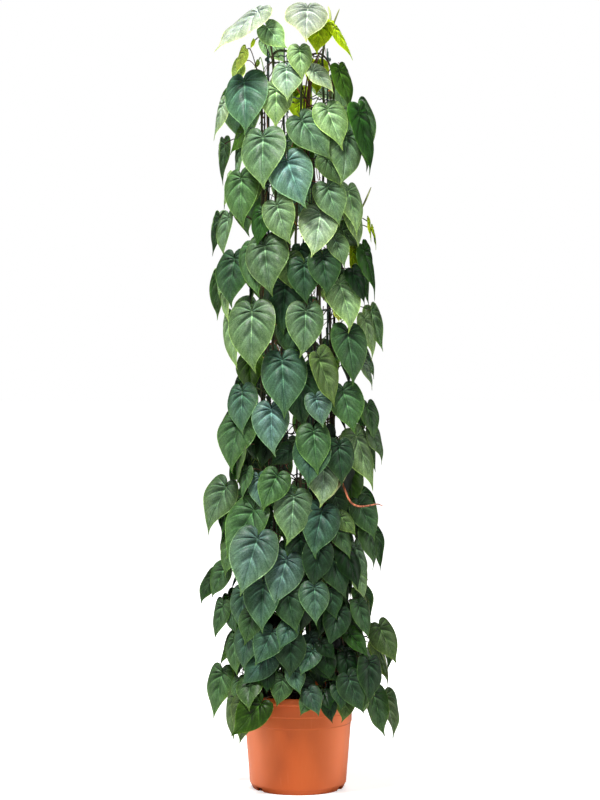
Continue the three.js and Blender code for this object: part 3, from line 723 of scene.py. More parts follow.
def fromHex(code):
    channels = [int(code[i : i + 2], 16) / 255 for i in (1, 3, 5)]
    return np.array([c / 12.92 if c <= 0.04045 else ((c + 0.055) / 1.055) ** 2.4 for c in channels])


def meshPart(points, corners, sizes, tint, finish, uv=None):
    if uv is None:
        uv = np.zeros((len(corners), 2))
    return {"points": points, "corners": corners, "sizes": sizes, "uv": uv, "tint": tint, "finish": finish}


def placeObject(name, data):
    made = bpy.data.objects.new(name, data)
    bpy.context.collection.objects.link(made)
    return made


def buildPiece(name, parts, materials, sharp=50):
    counts = [len(part["points"]) for part in parts]
    starts = np.cumsum([0, *counts[:-1]])
    points = np.concatenate([part["points"] for part in parts])
    corners = np.concatenate([part["corners"] + start for part, start in zip(parts, starts)])
    sizes = np.concatenate([part["sizes"] for part in parts])
    places = np.concatenate([part["uv"] for part in parts])
    tints = np.concatenate([np.broadcast_to(part["tint"], (n, 3)) for part, n in zip(parts, counts)])
    finishes = np.concatenate([np.broadcast_to(part["finish"], len(part["sizes"])) for part in parts])
    mesh = bpy.data.meshes.new(name)
    mesh.vertices.add(len(points))
    mesh.vertices.foreach_set("co", (points * mm).astype(np.float32).ravel())
    mesh.loops.add(len(corners))
    mesh.loops.foreach_set("vertex_index", corners.astype(np.int32))
    mesh.polygons.add(len(sizes))
    mesh.polygons.foreach_set("loop_start", np.cumsum([0, *sizes[:-1]]).astype(np.int32))
    mesh.polygons.foreach_set("material_index", finishes.astype(np.int32))
    mesh.uv_layers.new(name="veinMap").data.foreach_set("uv", places.astype(np.float32).ravel())
    colours = np.concatenate([tints, np.ones((len(tints), 1))], axis=1)
    shade = mesh.color_attributes.new("tint", "FLOAT_COLOR", "POINT")
    shade.data.foreach_set("color", colours.astype(np.float32).ravel())
    mesh.polygons.foreach_set("use_smooth", np.ones(len(sizes), dtype=bool))
    mesh.update(calc_edges=True)
    mesh.set_sharp_from_angle(angle=sharp * degrees)
    for material in materials:
        mesh.materials.append(material)
    return placeObject(name, mesh)


# A box two units wide, for the crumbs and the drain cutters
boxCorners = np.array([(x, y, z) for x in (-1, 1) for y in (-1, 1) for z in (-1, 1)], dtype=float)
boxFaces = [(0, 1, 3, 2), (4, 6, 7, 5), (0, 4, 5, 1), (2, 3, 7, 6), (0, 2, 6, 4), (1, 5, 7, 3)]
# The plant's finishes by place in plantFinishes, after a blade's top and underside
stalkFinish, barkFinish, rootFinish, rolledFinish = 2, 3, 4, 5


# Corner cutting: rounds a path's bends and keeps its ends
def softened(path, rounds=2):
    path = np.array(path, dtype=float)
    for _ in range(rounds):
        near, far = path[:-1] * 0.75 + path[1:] * 0.25, path[:-1] * 0.25 + path[1:] * 0.75
        path = np.concatenate([path[:1], np.stack([near, far], 1).reshape(-1, 3), path[-1:]])
    return path


# A closed tube along a path, with its own radius at each point
def tube(path, radius, sides, tint, finish, isLoop=False):
    path = np.asarray(path, dtype=float)
    radius = np.broadcast_to(radius, len(path))
    if isLoop:
        ways = np.roll(path, -1, axis=0) - np.roll(path, 1, axis=0)
    else:
        ways = np.gradient(path, axis=0)
    ways = ways / np.linalg.norm(ways, axis=1)[:, None]
    start = np.array([0.0, 0.0, 1.0]) if abs(ways[0][2]) < 0.8 else np.array([1.0, 0.0, 0.0])
    side = unit(np.cross(ways[0], start))
    sidesAlong = []
    for way in ways:
        side = unit(side - way * (side @ way))
        sidesAlong.append(side)
    sidesAlong = np.array(sidesAlong)
    ups = np.cross(ways, sidesAlong)
    turns = np.arange(sides) * 2 * math.pi / sides
    ring = sidesAlong[:, None] * np.cos(turns)[None, :, None] + ups[:, None] * np.sin(turns)[None, :, None]
    points = (path[:, None] + ring * radius[:, None, None]).reshape(-1, 3)
    count = len(path)
    i = np.arange(count if isLoop else count - 1)[:, None]
    k = np.arange(sides)[None, :]
    j, n = (k + 1) % sides, (i + 1) % count
    quads = np.stack([i * sides + k, i * sides + j, n * sides + j, n * sides + k], axis=-1)
    corners, sizes = quads.reshape(-1), np.full(len(quads.reshape(-1)) // 4, 4)
    if not isLoop:
        last = (count - 1) * sides
        caps = [np.arange(sides)[::-1], last + np.arange(sides)]
        corners = np.concatenate([corners, *caps])
        sizes = np.concatenate([sizes, [sides, sides]])
    if np.ndim(tint) == 2:
        tint = np.repeat(tint, sides, axis=0)
    return meshPart(points, corners, sizes, tint, finish)


# Leaves

bladeShape = {
    "rows": (*(i / 25 for i in range(24)), 0.945, 0.97, 0.987, 1),
    "columns": (0, 0.09, 0.21, 0.36, 0.53, 0.7, 0.85, 0.955, 1),
    "plainRows": (*(i / 13 for i in range(13)), 0.965, 1),
    "plainColumns": (0, 0.3, 0.65, 0.93, 1),
    "fanEnd": 0.47,
    "notch": 0.035,
    "ribCurve": 1.8,
    "firstVein": 0.12,
    "veinStep": 0.16,
    "relief": 0.058,
    "innerRelief": 0.5,
    "puff": (0.02, 0.05),
    "thickness": 0.9,
    "edgeWave": (0.005, 0.019),
    "ruffles": 15,
    "ribDepth": 0.006,
    "ribWidth": 0.1,
    "tipBend": 0.09,
    "tipBendFrom": 0.7,
    "lopsided": 0.06,
    "twist": 0.26,
    "curl": (-0.05, 0.12),
    "hook": (-0.04, 0.12),
    "hookFrom": 0.6,
}
toneRules = {
    # Darker lower down the plant: partly the paler young leaves at the top, partly painted shade
    "byHeightAndShade": (0.54, 1.06),
    "byLeaf": (0.88, 1.14),
    "warmth": (-0.03, 0.05),
    # Painted shade: each blade darker near its notch and lighter towards its tip, most strongly low down
    "notchShade": (-0.82, -0.16),
    "centre": (0.95, 0.98, 1.1),
    "edge": (1.05, 1.08, 0.83),
    "edgeCurve": 2.2,
    "edgeFrom": 0.55,
    "tip": (1.18, 1.12, 0.7),
    "tipFrom": 0.84,
    "tipFade": 0.12,
    "middle": 0.35,
}
# Half a blade's outline from the notch round to the tip, in half widths and lengths
leafOutline = [
    (0, 0), (0.055, -0.06), (0.18, -0.12), (0.37, -0.15), (0.6, -0.135), (0.8, -0.065), (0.93, 0.05),
    (0.99, 0.17), (0.99, 0.28), (0.93, 0.395), (0.82, 0.5), (0.66, 0.6), (0.48, 0.69), (0.31, 0.77),
    (0.18, 0.835), (0.098, 0.885), (0.056, 0.93), (0.03, 0.97), (0, 1),
]
# Each tone's brightest and dimmest leaf
leafTones = {
    "white": ("#a2a796", "#959b8a"),
    "pale": ("#a3b494", "#94a585"),
    "mint": ("#879b7b", "#798c6e"),
    "light": ("#8aa571", "#779262"),
    "slate": ("#627a57", "#52694b"),
    "steel": ("#627e70", "#557062"),
    # The two brightest yellow-greens: the young leaves' own colour, brightened as painted glow of light
    # shining through them
    "lime": ("#d2e06c", "#c0d057"),
    "fresh": ("#b6ca20", "#98b016"),
    "vivid": ("#40601d", "#314c17"),
    "moss": ("#2f5220", "#26441b"),
    "olive": ("#617743", "#4a603c"),
    "green": ("#4e6c41", "#3d5838"),
    "blue": ("#4e6d58", "#3e5a47"),
    "deep": ("#344c33", "#283f2a"),
    "dark": ("#1b3419", "#162b15"),
}


# How far along the stretch from start to 1 a value lies, and 0 before it
def beyond(value, start):
    return np.maximum(0, (value - start) / (1 - start))


def leafEdge(m):
    outline = np.array(leafOutline, dtype=float)
    scaled = outline * (0.4, 1)
    steps = np.linalg.norm(np.diff(scaled, axis=0), axis=1)
    spans = np.concatenate([[0], np.cumsum(steps)]) / steps.sum()
    slopes = np.gradient(outline, spans, axis=0)
    k = np.clip(np.searchsorted(spans, m, side="right") - 1, 0, len(spans) - 2)
    wide = spans[k + 1] - spans[k]
    s = (m - spans[k]) / wide
    rise = outline[k] * (2 * s**3 - 3 * s**2 + 1) + outline[k + 1] * (3 * s**2 - 2 * s**3)
    bend = slopes[k] * (s**3 - 2 * s**2 + s) + slopes[k + 1] * (s**3 - s**2)
    return rise + bend * wide


# One grid whose rows run as the veins do, out of the notch and then off the midrib. It holds a point
# for each corner: across in half widths, along in lengths, its row, its column and its layer.
def bladeGrid(stops, columns):
    shape = bladeShape
    ids, spots, faces = {}, [], []
    rows, last = len(stops) - 1, len(columns) - 1

    def corner(side, i, j, layer):
        m, q = stops[i], columns[j]
        rib = shape["notch"] + (1 - shape["notch"]) * beyond(m, shape["fanEnd"]) ** shape["ribCurve"]
        if i == rows:
            key = "tip"
        elif j == 0:
            key = ("rib", rib, layer)
        elif j == last:
            key = ("edge", side if i else 0, i)
        elif i == 0:
            key = ("sinus", j, layer)
        else:
            key = ("blade", side, i, j, layer)
        if key not in ids:
            edgeX, edgeT = (0, 1) if i == rows else leafEdge(m)
            fall = edgeT - rib
            fan = np.clip((0.6 - m) / 0.3, 0, 1) * np.clip(m / 0.1, 0, 1)
            turnX = 0.6 * edgeX
            turnT = rib + np.clip(0.6 - 3 * fall, 0.36, 0.9) * fall - 0.04 * fan
            x = 2 * q * (1 - q) * turnX + q * q * edgeX
            t = (1 - q) ** 2 * rib + 2 * q * (1 - q) * turnT + q * q * edgeT
            ids[key] = len(spots)
            spots.append((side * x, t, m, q, layer if 0 < j < last or key[0] == "rib" else 0))
        return ids[key], ((m - shape["firstVein"]) / shape["veinStep"], q)

    for layer in (0, 1):
        for side in (-1, 1):
            for i in range(rows):
                for j in range(last):
                    ring = [(i, j), (i, j + 1), (i + 1, j + 1), (i + 1, j)]
                    if (side < 0) != (layer == 1):
                        ring.reverse()
                    got = [corner(side, a, b, layer) for a, b in ring]
                    kept = [c for n, c in enumerate(got) if c[0] != got[n - 1][0]]
                    if len(kept) > 2:
                        faces.append((kept, layer))
    corners = np.array([c[0] for face, _ in faces for c in face])
    places = np.array([c[1] for face, _ in faces for c in face])
    sizes = np.array([len(face) for face, _ in faces])
    layers = np.array([layer for _, layer in faces])
    return np.array(spots, dtype=float), corners, sizes, places, layers


fineGrid = bladeGrid(bladeShape["rows"], bladeShape["columns"])
plainGrid = bladeGrid(bladeShape["plainRows"], bladeShape["plainColumns"])


# A blade is bluer in the middle, greener at its edge and yellower at its tip, and its tint holds painted
# shade: darker near its notch, where the leaves above shade it, and darker lower down the plant
def bladeTint(leaf, t, q):
    rules = toneRules
    bright, dim = (fromHex(code) for code in leafTones[leaf["tone"]])
    tint = dim + (bright - dim) * random(0, 1)
    level = np.clip(leaf["base"][2] / plantSizes["tallTop"], 0, 1)
    # Painted shade, partly the paler young leaves at the top: darker lower down; inner leaves add their own
    # painted shade
    shade = np.interp(level, (0, 1), rules["byHeightAndShade"])
    shade *= random(*rules["byLeaf"]) * leaf.get("shade", 1)
    warmth = random(*rules["warmth"])
    # Painted shade: darker towards the notch
    fall = 1 + np.interp(level, (0, 1), rules["notchShade"]) * (rules["middle"] - t)
    centre, edge, tip = (np.array(rules[key]) for key in ("centre", "edge", "tip"))
    edgeShare = np.clip(q ** rules["edgeCurve"] + beyond(t, rules["edgeFrom"]) ** 1.5, 0, 1)
    tipShare = np.clip((t - rules["tipFrom"]) / rules["tipFade"], 0, 1)
    fall = fall * (centre + (edge - centre) * edgeShare) * (1 + (tip - 1) * tipShare)
    return tint * shade * np.array([1 + warmth, 1, 1 - warmth]) * fall


def makeBlade(leaf):
    shape = bladeShape
    spots, corners, sizes, places, layers = plainGrid if leaf.get("isInner") else fineGrid
    x, t, m, q, under = spots.T
    length, half = leaf["length"], leaf["half"]
    wave, phase = random(*shape["edgeWave"]), random(0, 6.28)
    tipBend = random(-shape["tipBend"], shape["tipBend"]) * length
    lopsided = random(-shape["lopsided"], shape["lopsided"])
    u = x * half * (1 + lopsided * np.sign(x)) + tipBend * beyond(t, shape["tipBendFrom"]) ** 2
    v = t * length
    twist = random(-shape["twist"], shape["twist"])
    curl = np.where(x < 0, random(*shape["curl"]), random(*shape["curl"]))
    hook = random(*shape["hook"])
    between = ((m - shape["firstVein"]) / shape["veinStep"]) % 1
    fan = 0.35 + 0.65 * np.clip((m - 0.1) / 0.3, 0, 1)
    swell = np.sin(math.pi * between) ** 0.8 * np.minimum(1, q * 4) * (1 - q) ** 1.1 * (1 - m**2.5) * fan
    ruffle = wave * q**2 * np.sin(shape["ruffles"] * m + phase + np.sign(x) * 1.3) * (1 - m**4)
    rib = shape["ribDepth"] * np.exp(-((q / shape["ribWidth"]) ** 2)) * (1 - t**2)
    puff = random(*shape["puff"]) * 4 * q * (1 - q) * (1 - m**3)
    relief = shape["relief"] * (shape["innerRelief"] if leaf.get("isInner") else 1)
    lift = length * (relief * swell + puff + ruffle - rib)
    lift += u * twist * np.clip(t, 0, 1) - length * curl * np.abs(x) ** 3
    lift -= length * hook * beyond(t, shape["hookFrom"]) ** 2
    lift = lift - under * shape["thickness"] * (1 - q**3)
    points = onBlade(leaf, u, v, lift)
    tint = bladeTint(leaf, t[:, None], q[:, None])
    return meshPart(points, corners, sizes, tint, layers, places + (16 * int(random(0, 40)), 0))


# Stalks, stems and roots

stemShape = {
    "step": 5,
    "sides": 9,
    "nodeBulge": 1.3,
    "nodeWidth": 4,
    "wrapTurns": (8, 60, 6),
    "wrapBark": "#4a5a34",
    "rootShare": 0.55,
    "rootReach": (12, 44),
    "rootFall": (-6, 34),
    "rootHug": 5.5,
    "rootSize": (1.1, 0.5),
    "oldBark": "#4c3a2a",
    "youngBark": "#5d6b38",
    "greenStalk": "#6d8440",
    "brownStalk": "#5b4230",
    "rootBark": "#6b4a33",
    "rootTip": "#d07a5a",
}


def makeStalk(leaf):
    notch = onBlade(leaf, 0, bladeShape["notch"] * leaf["length"], -0.8)[0]
    path = softened([leaf["stalk"][2], leaf["stalk"][1], notch], 3)
    reach = np.linspace(0, 1, len(path))
    radius = plantSizes["petioleSize"] * (0.72 + 0.45 * (2 * reach - 1) ** 2)
    isGreen = random(0, 1) < (0.75 if leaf["tone"] in ("fresh", "pale", "light") else 0.4)
    tint = fromHex(stemShape["greenStalk" if isGreen else "brownStalk"]) * random(0.75, 1.15)
    return tube(path, radius, 6, tint, stalkFinish)


def makeStem(vine):
    shape = stemShape
    foot, top = plantSizes["stemFoot"], vine["top"]
    z = np.arange(foot, top + 0.1, shape["step"])
    z = np.append(z, top + 4)
    path = onVine(vine, z)
    nodes = sorted({round(float(leaf["stalk"][2][2])) for leaf in vine["leaves"]})
    bulge = np.zeros(len(z))
    for node in nodes:
        bulge = np.maximum(bulge, np.exp(-(((z - node) / shape["nodeWidth"]) ** 2)))
    radius = plantSizes["stemSize"] * (0.92 - 0.12 * (z - foot) / (top - foot)) + shape["nodeBulge"] * bulge
    radius[-1] = 1.2
    age = np.clip((z - foot) / (top - foot), 0, 1)[:, None] ** 2
    tint = fromHex(shape["oldBark"]) * (1 - age) + fromHex(shape["youngBark"]) * age
    tint = tint * (1 - 0.25 * bulge[:, None])
    return tube(path, radius, shape["sides"], tint, barkFinish)


def makeWrap(vine):
    bends = [vine["angle"] + turn * degrees for turn in range(*stemShape["wrapTurns"])]
    r, level = vine["radius"], plantSizes["wrapHeight"]
    path = [onVine(vine, vine["top"] - 10), onVine(vine, level - 6)]
    path += [aroundAxis(r, a, level + 1.5 * math.sin(9 * a)) for a in bends]
    tint = fromHex(stemShape["wrapBark"])
    return tube(softened(path, 2), plantSizes["stemSize"] * 0.88, stemShape["sides"], tint, barkFinish)


# Short roots leave the stems at the leaves and hug the column
def makeRoots(vine):
    shape = stemShape
    thick, thin = shape["rootSize"]
    made = []
    for leaf in vine["leaves"]:
        if random(0, 1) > shape["rootShare"]:
            continue
        start = leaf["stalk"][2]
        angle = math.atan2(start[0], -start[1])
        way = 1 if random(0, 1) < 0.5 else -1
        reach, fall = random(*shape["rootReach"]), random(*shape["rootFall"])
        path = []
        for s in (0, 0.25, 0.5, 0.75, 1):
            radius = vine["radius"] - shape["rootHug"] * math.sin(s * math.pi / 2) + random(-1, 1)
            turn = angle + way * s * reach / vine["radius"]
            path.append(aroundAxis(radius, turn, start[2] - fall * s * s))
        path = softened(path, 1)
        s = np.linspace(0, 1, len(path))[:, None]
        tint = fromHex(shape["rootBark"]) * (1 - s**3) + fromHex(shape["rootTip"]) * s**3
        made.append(tube(path, thick + (thin - thick) * s[:, 0], 5, tint, rootFinish))
    return made


# Thin old runners climb between the stems, close to the wires
runnerRules = {
    "count": 16,
    "radius": 73.2,
    "size": (1.3, 2.1),
    "tops": (820, 1505),
    "spread": 0.12,
    "sway": 0.1,
    "swing": (60, 150),
    "step": 12,
    "bark": "#3c2c20",
    "shade": (0.8, 1.3),
}


def makeRunners():
    r = runnerRules
    made = []
    for i in range(r["count"]):
        angle = (i + 0.5) * 2 * math.pi / r["count"] + random(-r["spread"], r["spread"])
        top = random(*r["tops"])
        swing, phase = random(*r["swing"]), random(0, 6.28)
        z = np.arange(plantSizes["soilTop"] - 6, top, r["step"])
        turn = angle + r["sway"] * np.sin(z / swing + phase)
        path = aroundAxis(r["radius"] + 0.6 * np.sin(z / 37 + phase), turn, z)
        size = random(*r["size"])
        tint = fromHex(r["bark"]) * random(*r["shade"])
        made.append(tube(path, size, 7, tint, 0))
    return made


# Thin stalks of lost leaves and bare roots tangle round the wires, where the leaves are sparse
tangleRules = {
    "count": 190,
    "levels": (690, 1520),
    "radius": (66, 80),
    "span": (0.25, 1.1),
    "rise": (-70, 70),
    "loop": (-22, 26),
    "size": (0.8, 1.5),
    "tints": ("#3c2c20", "#33402a", "#4d3a28", "#a4522e", "#6d7f3c"),
}
# Short young roots feel their way out of the stems
rootletRules = {
    "count": 120,
    "levels": (640, 1540),
    "radius": (72, 86),
    "span": (0.06, 0.3),
    "rise": (-46, 18),
    "loop": (-9, 9),
    "size": (0.8, 1.4),
    "tints": ("#c4703f", "#b8603a", "#8a5236", "#c98a5c"),
}


def makeTangle(r):
    made = []
    for _ in range(r["count"]):
        angle, level, radius = random(0, 2 * math.pi), random(*r["levels"]), random(*r["radius"])
        span, rise, loop = random(*r["span"]), random(*r["rise"]), random(*r["loop"])
        way = 1 if random(0, 1) < 0.5 else -1
        path = []
        for s in (0, 0.2, 0.4, 0.6, 0.8, 1):
            turn = angle + way * span * (s + 0.12 * math.sin(7 * s + loop))
            out = radius + 7 * math.sin(3 * s + loop)
            path.append(aroundAxis(out, turn, level + rise * s + loop * math.sin(5 * s)))
        tint = fromHex(r["tints"][int(random(0, len(r["tints"])))])
        path = softened(path, 2)
        size = random(*r["size"]) * (1 - 0.5 * np.linspace(0, 1, len(path)) ** 2)
        made.append(tube(path, size, 6, tint, 0))
    return made


# Single stems, roots and rolled leaves that stand out: radius, finish, tints from foot to tip, points
sprigs = {
    "top bunch": (2.4, barkFinish, "#5a3a26", "#6f4a30", [
        (12, -76, 1300), (17, -76, 1430), (26, -76, 1508), (38, -77, 1532), (50, -82, 1552),
    ]),
    "second of the bunch": (2.0, barkFinish, "#4f3524", "#7a4a34", [
        (21, -75, 1330), (22, -78, 1440), (31, -79, 1512), (44, -78, 1536),
    ]),
    "third of the bunch": (1.8, barkFinish, "#4a3022", "#5d4430", [
        (7, -76, 1360), (13, -79, 1450), (20, -80, 1500), (33, -75, 1540),
    ]),
    "arch over the top": (2.2, barkFinish, "#4a3626", "#5f4530", [
        (26, -73, 1541), (45, -66, 1546), (60, -52, 1536), (70, -40, 1515), (73, -38, 1480),
    ]),
    "tall rolled leaf": (2.6, rolledFinish, "#8fa83c", "#dfe6a0", [
        (64, -75, 1590), (67, -76, 1606), (67, -78, 1626), (62, -80, 1641),
    ]),
    "leaning rolled leaf": (1.9, rolledFinish, "#8fa83c", "#c8d67a", [
        (64, -75, 1586), (72, -76, 1600), (79, -78, 1618), (86, -80, 1635),
    ]),
    "rolled leaf on the right": (2.0, rolledFinish, "#9fb84c", "#d5dfa0", [
        (128, -40, 1214), (140, -46, 1238), (147, -48, 1254), (153, -49, 1269),
    ]),
    "pale sheath": (4.2, rolledFinish, "#cdd09a", "#b5c078", [
        (104, -86, 684), (98, -93, 668), (84, -103, 648), (70, -112, 630), (60, -117, 620),
    ]),
    "hanging root": (2.1, rootFinish, "#b5653f", "#e08a68", [
        (62, -62, 700), (84, -92, 672), (96, -110, 642), (106, -122, 616), (120, -124, 606),
        (135, -118, 605), (153, -104, 607), (165, -92, 609), (176, -84, 604),
    ]),
}


def makeSprig(size, finish, footTint, tipTint, points):
    path = softened(points, 2)
    s = np.linspace(0, 1, len(path))[:, None]
    tint = fromHex(footTint) * (1 - s) + fromHex(tipTint) * s
    if finish == rolledFinish:
        radius = size * np.sin(math.pi * np.clip(0.12 + 0.86 * s[:, 0], 0, 0.985)) ** 0.7
    else:
        radius = size * (1 - 0.7 * s[:, 0] ** 3)
    return tube(path, radius, 8, tint, finish)


# Pot: a lathe with rounded corners, and drain notches cut round its heel


def roundedProfile(profile, radius):
    made = [np.array(profile[0], dtype=float)]
    for before, here, after in zip(profile, profile[1:], profile[2:]):
        before, here, after = (np.array(p, dtype=float) for p in (before, here, after))
        near = min(radius, np.linalg.norm(before - here) / 2.2, np.linalg.norm(after - here) / 2.2)
        start, end = here + unit(before - here) * near, here + unit(after - here) * near
        for s in (0, 0.33, 0.67, 1):
            made.append(start * (1 - s) ** 2 + here * 2 * s * (1 - s) + end * s * s)
    made.append(np.array(profile[-1], dtype=float))
    return np.array(made)


# Turns a profile that starts and ends on the axis into one closed body
def lathed(profile, facets, tint, finish=0):
    inner = profile[1:-1]
    turns = np.arange(facets) * 2 * math.pi / facets
    ring = np.stack([np.cos(turns), np.sin(turns)], axis=-1)
    points = [np.column_stack([ring * r, np.full(facets, z)]) for r, z in inner]
    points += [[(0, 0, profile[0][1])], [(0, 0, profile[-1][1])]]
    points = np.concatenate(points)
    i, k = np.arange(len(inner) - 1)[:, None], np.arange(facets)[None, :]
    j = (k + 1) % facets
    quads = np.stack([i * facets + k, i * facets + j, (i + 1) * facets + j, (i + 1) * facets + k], axis=-1)
    low, high = len(inner) * facets, len(inner) * facets + 1
    k, j, last = np.arange(facets), (np.arange(facets) + 1) % facets, (len(inner) - 1) * facets
    foot = np.stack([np.full(facets, low), j, k], axis=-1)
    floor = np.stack([np.full(facets, high), last + k, last + j], axis=-1)
    corners = np.concatenate([quads.reshape(-1), foot.reshape(-1), floor.reshape(-1)])
    sizes = np.concatenate([np.full(quads.size // 4, 4), np.full(2 * facets, 3)])
    return meshPart(points, corners, sizes, tint, finish)


def potProfile():
    p = potSizes
    band, wall, rim = p["height"] - p["rimBand"], p["wall"], p["rimRadius"]
    (highR, highZ), (lowR, lowZ), (heelR, heelZ) = p["highStep"], p["lowStep"], p["heel"]
    return [
        (0, 0),
        (p["footRadius"], 0),
        (heelR - 1.2, heelZ - 4),
        (heelR - 1.0, heelZ - 3),
        (heelR + 0.2, heelZ - 2),
        (lowR, lowZ),
        (lowR + 1.8, lowZ + 1.6),
        (highR - 2.2, highZ),
        (highR, highZ + 1.8),
        (p["topRadius"], band - 3),
        (rim - 2.4, band - 0.4),
        (rim, band + 1.6),
        (rim, p["height"] - 2),
        (rim - 1.6, p["height"]),
        (rim - wall - 1, p["height"]),
        (rim - wall - 2, band + wall),
        (p["topRadius"] - wall, band),
        (lowR - wall, lowZ),
        (p["footRadius"] - wall + 1, wall),
        (0, wall),
    ]


def makePot(material):
    p = potSizes
    part = lathed(roundedProfile(potProfile(), p["corner"]), p["facets"], fromHex(p["tint"]))
    pot = buildPiece("nursery_pot", [part], [material], sharp=p["sharp"])
    cutters = []
    for angle in p["drainAngles"]:
        mesh = bpy.data.meshes.new("drain")
        size = np.array([p["drainDepth"], p["drainWidth"], 2 * p["drainHeight"]]) * mm
        mesh.from_pydata((boxCorners * size / 2).tolist(), [], boxFaces)
        cutter = placeObject("drain", mesh)
        reach = (p["heel"][0] + 4 - p["drainDepth"] / 2) * mm
        turn = (angle - 90) * degrees
        cutter.matrix_world = Matrix.Rotation(turn, 4, "Z") @ Matrix.Translation((reach, 0, 0))
        cut = pot.modifiers.new("drain", "BOOLEAN")
        cut.operation = "DIFFERENCE"
        cut.solver = "EXACT"
        cut.object = cutter
        cutters.append(cutter)
    bpy.context.view_layer.update()
    finished = bpy.data.meshes.new_from_object(pot.evaluated_get(bpy.context.evaluated_depsgraph_get()))
    pot.modifiers.clear()
    pot.data = finished
    finished.polygons.foreach_set("use_smooth", np.ones(len(finished.polygons), dtype=bool))
    finished.set_sharp_from_angle(angle=p["sharp"] * degrees)
    for cutter in cutters:
        bpy.data.objects.remove(cutter)
    return pot


# Soil: a plug with an uneven top, and bark crumbs pressed into it

soilShape = {
    "edge": 112.6,
    "waist": 109.4,
    "foot": 92.6,
    "low": 3,
    "rings": 26,
    "facets": 96,
    "sharp": 35,
    "crumbs": 520,
    "crumb": (1.6, 5.5),
    "crumbSides": ((0.6, 1.5), (0.4, 1), (0.25, 0.6)),
    "crumbSkew": 0.25,
    "crumbTilt": 0.6,
    "crumbShade": (0.6, 1.3),
    "paleShare": 0.6,
    "pale": "#5a4030",
    "dark": "#2c2018",
    "earth": "#33251b",
}


def soilHeight(x, y):
    rough = 1.6 * np.sin(x / 13 + 1.3 * np.sin(y / 19)) * np.cos(y / 11) + 0.9 * np.sin(x / 5.1 + y / 6.7)
    return plantSizes["soilTop"] + 3 + rough - 4 * (np.hypot(x, y) / soilShape["edge"]) ** 4


def makeCrumb(x, y, size):
    s = soilShape
    skew, tilt = s["crumbSkew"], s["crumbTilt"]
    points = boxCorners * np.array([random(*side) for side in s["crumbSides"]]) * size
    points += np.array([[random(-skew, skew) * size for _ in range(3)] for _ in range(8)])
    turn = Matrix.Rotation(random(0, 6.28), 3, "Z") @ Matrix.Rotation(random(-tilt, tilt), 3, "X")
    points = points @ np.array(turn).T + (x, y, float(soilHeight(x, y)) + 0.2 * size)
    tint = fromHex(s["pale"] if random(0, 1) < s["paleShare"] else s["dark"]) * random(*s["crumbShade"])
    return meshPart(points, np.array(boxFaces).reshape(-1), np.full(6, 4), tint, 0)


def makeSoil(material):
    s, level = soilShape, plantSizes["soilTop"]
    profile = [(0, s["low"]), (s["foot"], s["low"])]
    profile += [(s["waist"], potSizes["lowStep"][1]), (s["edge"] + 1, level - 4)]
    profile += [(s["edge"] * (1 - i / s["rings"]), level) for i in range(s["rings"])]
    profile += [(0, level)]
    plug = lathed(np.array(profile, dtype=float), s["facets"], fromHex(s["earth"]))
    points = plug["points"]
    top = points[:, 2] > level - 3
    points[top, 2] = soilHeight(points[top, 0], points[top, 1])
    parts = [plug]
    for _ in range(s["crumbs"]):
        reach, turn = s["edge"] * 0.97 * math.sqrt(random(0, 1)), random(0, 2 * math.pi)
        parts.append(makeCrumb(reach * math.cos(turn), reach * math.sin(turn), random(*s["crumb"])))
    return buildPiece("potting_soil", parts, [material], sharp=s["sharp"])


# Wire column: straight coated uprights, and level rings with a slight crimp welded round them


def makeColumn(material):
    c = columnSizes
    tint, size = fromHex(c["tint"]), c["wire"] / 2
    parts = []
    for i in range(c["count"]):
        angle = c["first"] * degrees + i * 2 * math.pi / c["count"]
        z = np.append(np.arange(c["foot"], c["top"] - 1, c["step"]), [c["top"] - 0.6, c["top"]])
        lean = c["lean"] * np.sin(z / c["leanLength"] + i)
        path = aroundAxis(c["radius"] + lean, angle, z)
        radius = np.full(len(z), size)
        radius[[0, -1]] = size * 0.6
        parts.append(tube(path, radius, 10, tint, 0))
    for k in range(c["rings"]):
        level = c["topRing"] - k * c["ringStep"]
        turns = np.arange(c["ringFacets"]) * 2 * math.pi / c["ringFacets"]
        z = level + c["crimp"] * np.sin(c["crimps"] * turns + 1.7 * k)
        ringRadius = c["radius"] + 0.5
        path = np.stack([ringRadius * np.cos(turns), ringRadius * np.sin(turns), z], axis=-1)
        parts.append(tube(path, size * 0.95, 8, tint, 0, isLoop=True))
    return buildPiece("coated_wire_column", parts, [material])


# Materials


def placeNode(tree, kind, inputs=None, **facts):
    node = tree.nodes.new(kind)
    for key, value in facts.items():
        setattr(node, key, value)
    for key, value in (inputs or {}).items():
        if isinstance(value, bpy.types.NodeSocket):
            tree.links.new(value, node.inputs[key])
        else:
            node.inputs[key].default_value = value
    return node


def sumNode(tree, operation, a, b=0.0, c=0.0, clamp=False):
    node = placeNode(tree, "ShaderNodeMath", {0: a, 1: b, 2: c}, operation=operation, use_clamp=clamp)
    return node.outputs[0]


def blendNode(tree, share, a, b, kind="MIX"):
    inputs = {"Factor": share, "A": a, "B": b}
    node = tree.nodes.new("ShaderNodeMix")
    node.data_type = "RGBA"
    node.blend_type = kind
    for socket in node.inputs:
        if socket.enabled and socket.name in inputs:
            value = inputs[socket.name]
            if isinstance(value, bpy.types.NodeSocket):
                tree.links.new(value, socket)
            else:
                socket.default_value = value
    return next(socket for socket in node.outputs if socket.enabled)


def rangeNode(tree, value, low, high, toLow=0.0, toHigh=1.0, smooth=True):
    inputs = {"Value": value, "From Min": low, "From Max": high, "To Min": toLow, "To Max": toHigh}
    kind = "SMOOTHSTEP" if smooth else "LINEAR"
    return placeNode(tree, "ShaderNodeMapRange", inputs, interpolation_type=kind).outputs["Result"]


def noiseNode(tree, where, scale, detail):
    inputs = {"Vector": where, "Scale": scale, "Detail": detail}
    return placeNode(tree, "ShaderNodeTexNoise", inputs).outputs["Fac"]


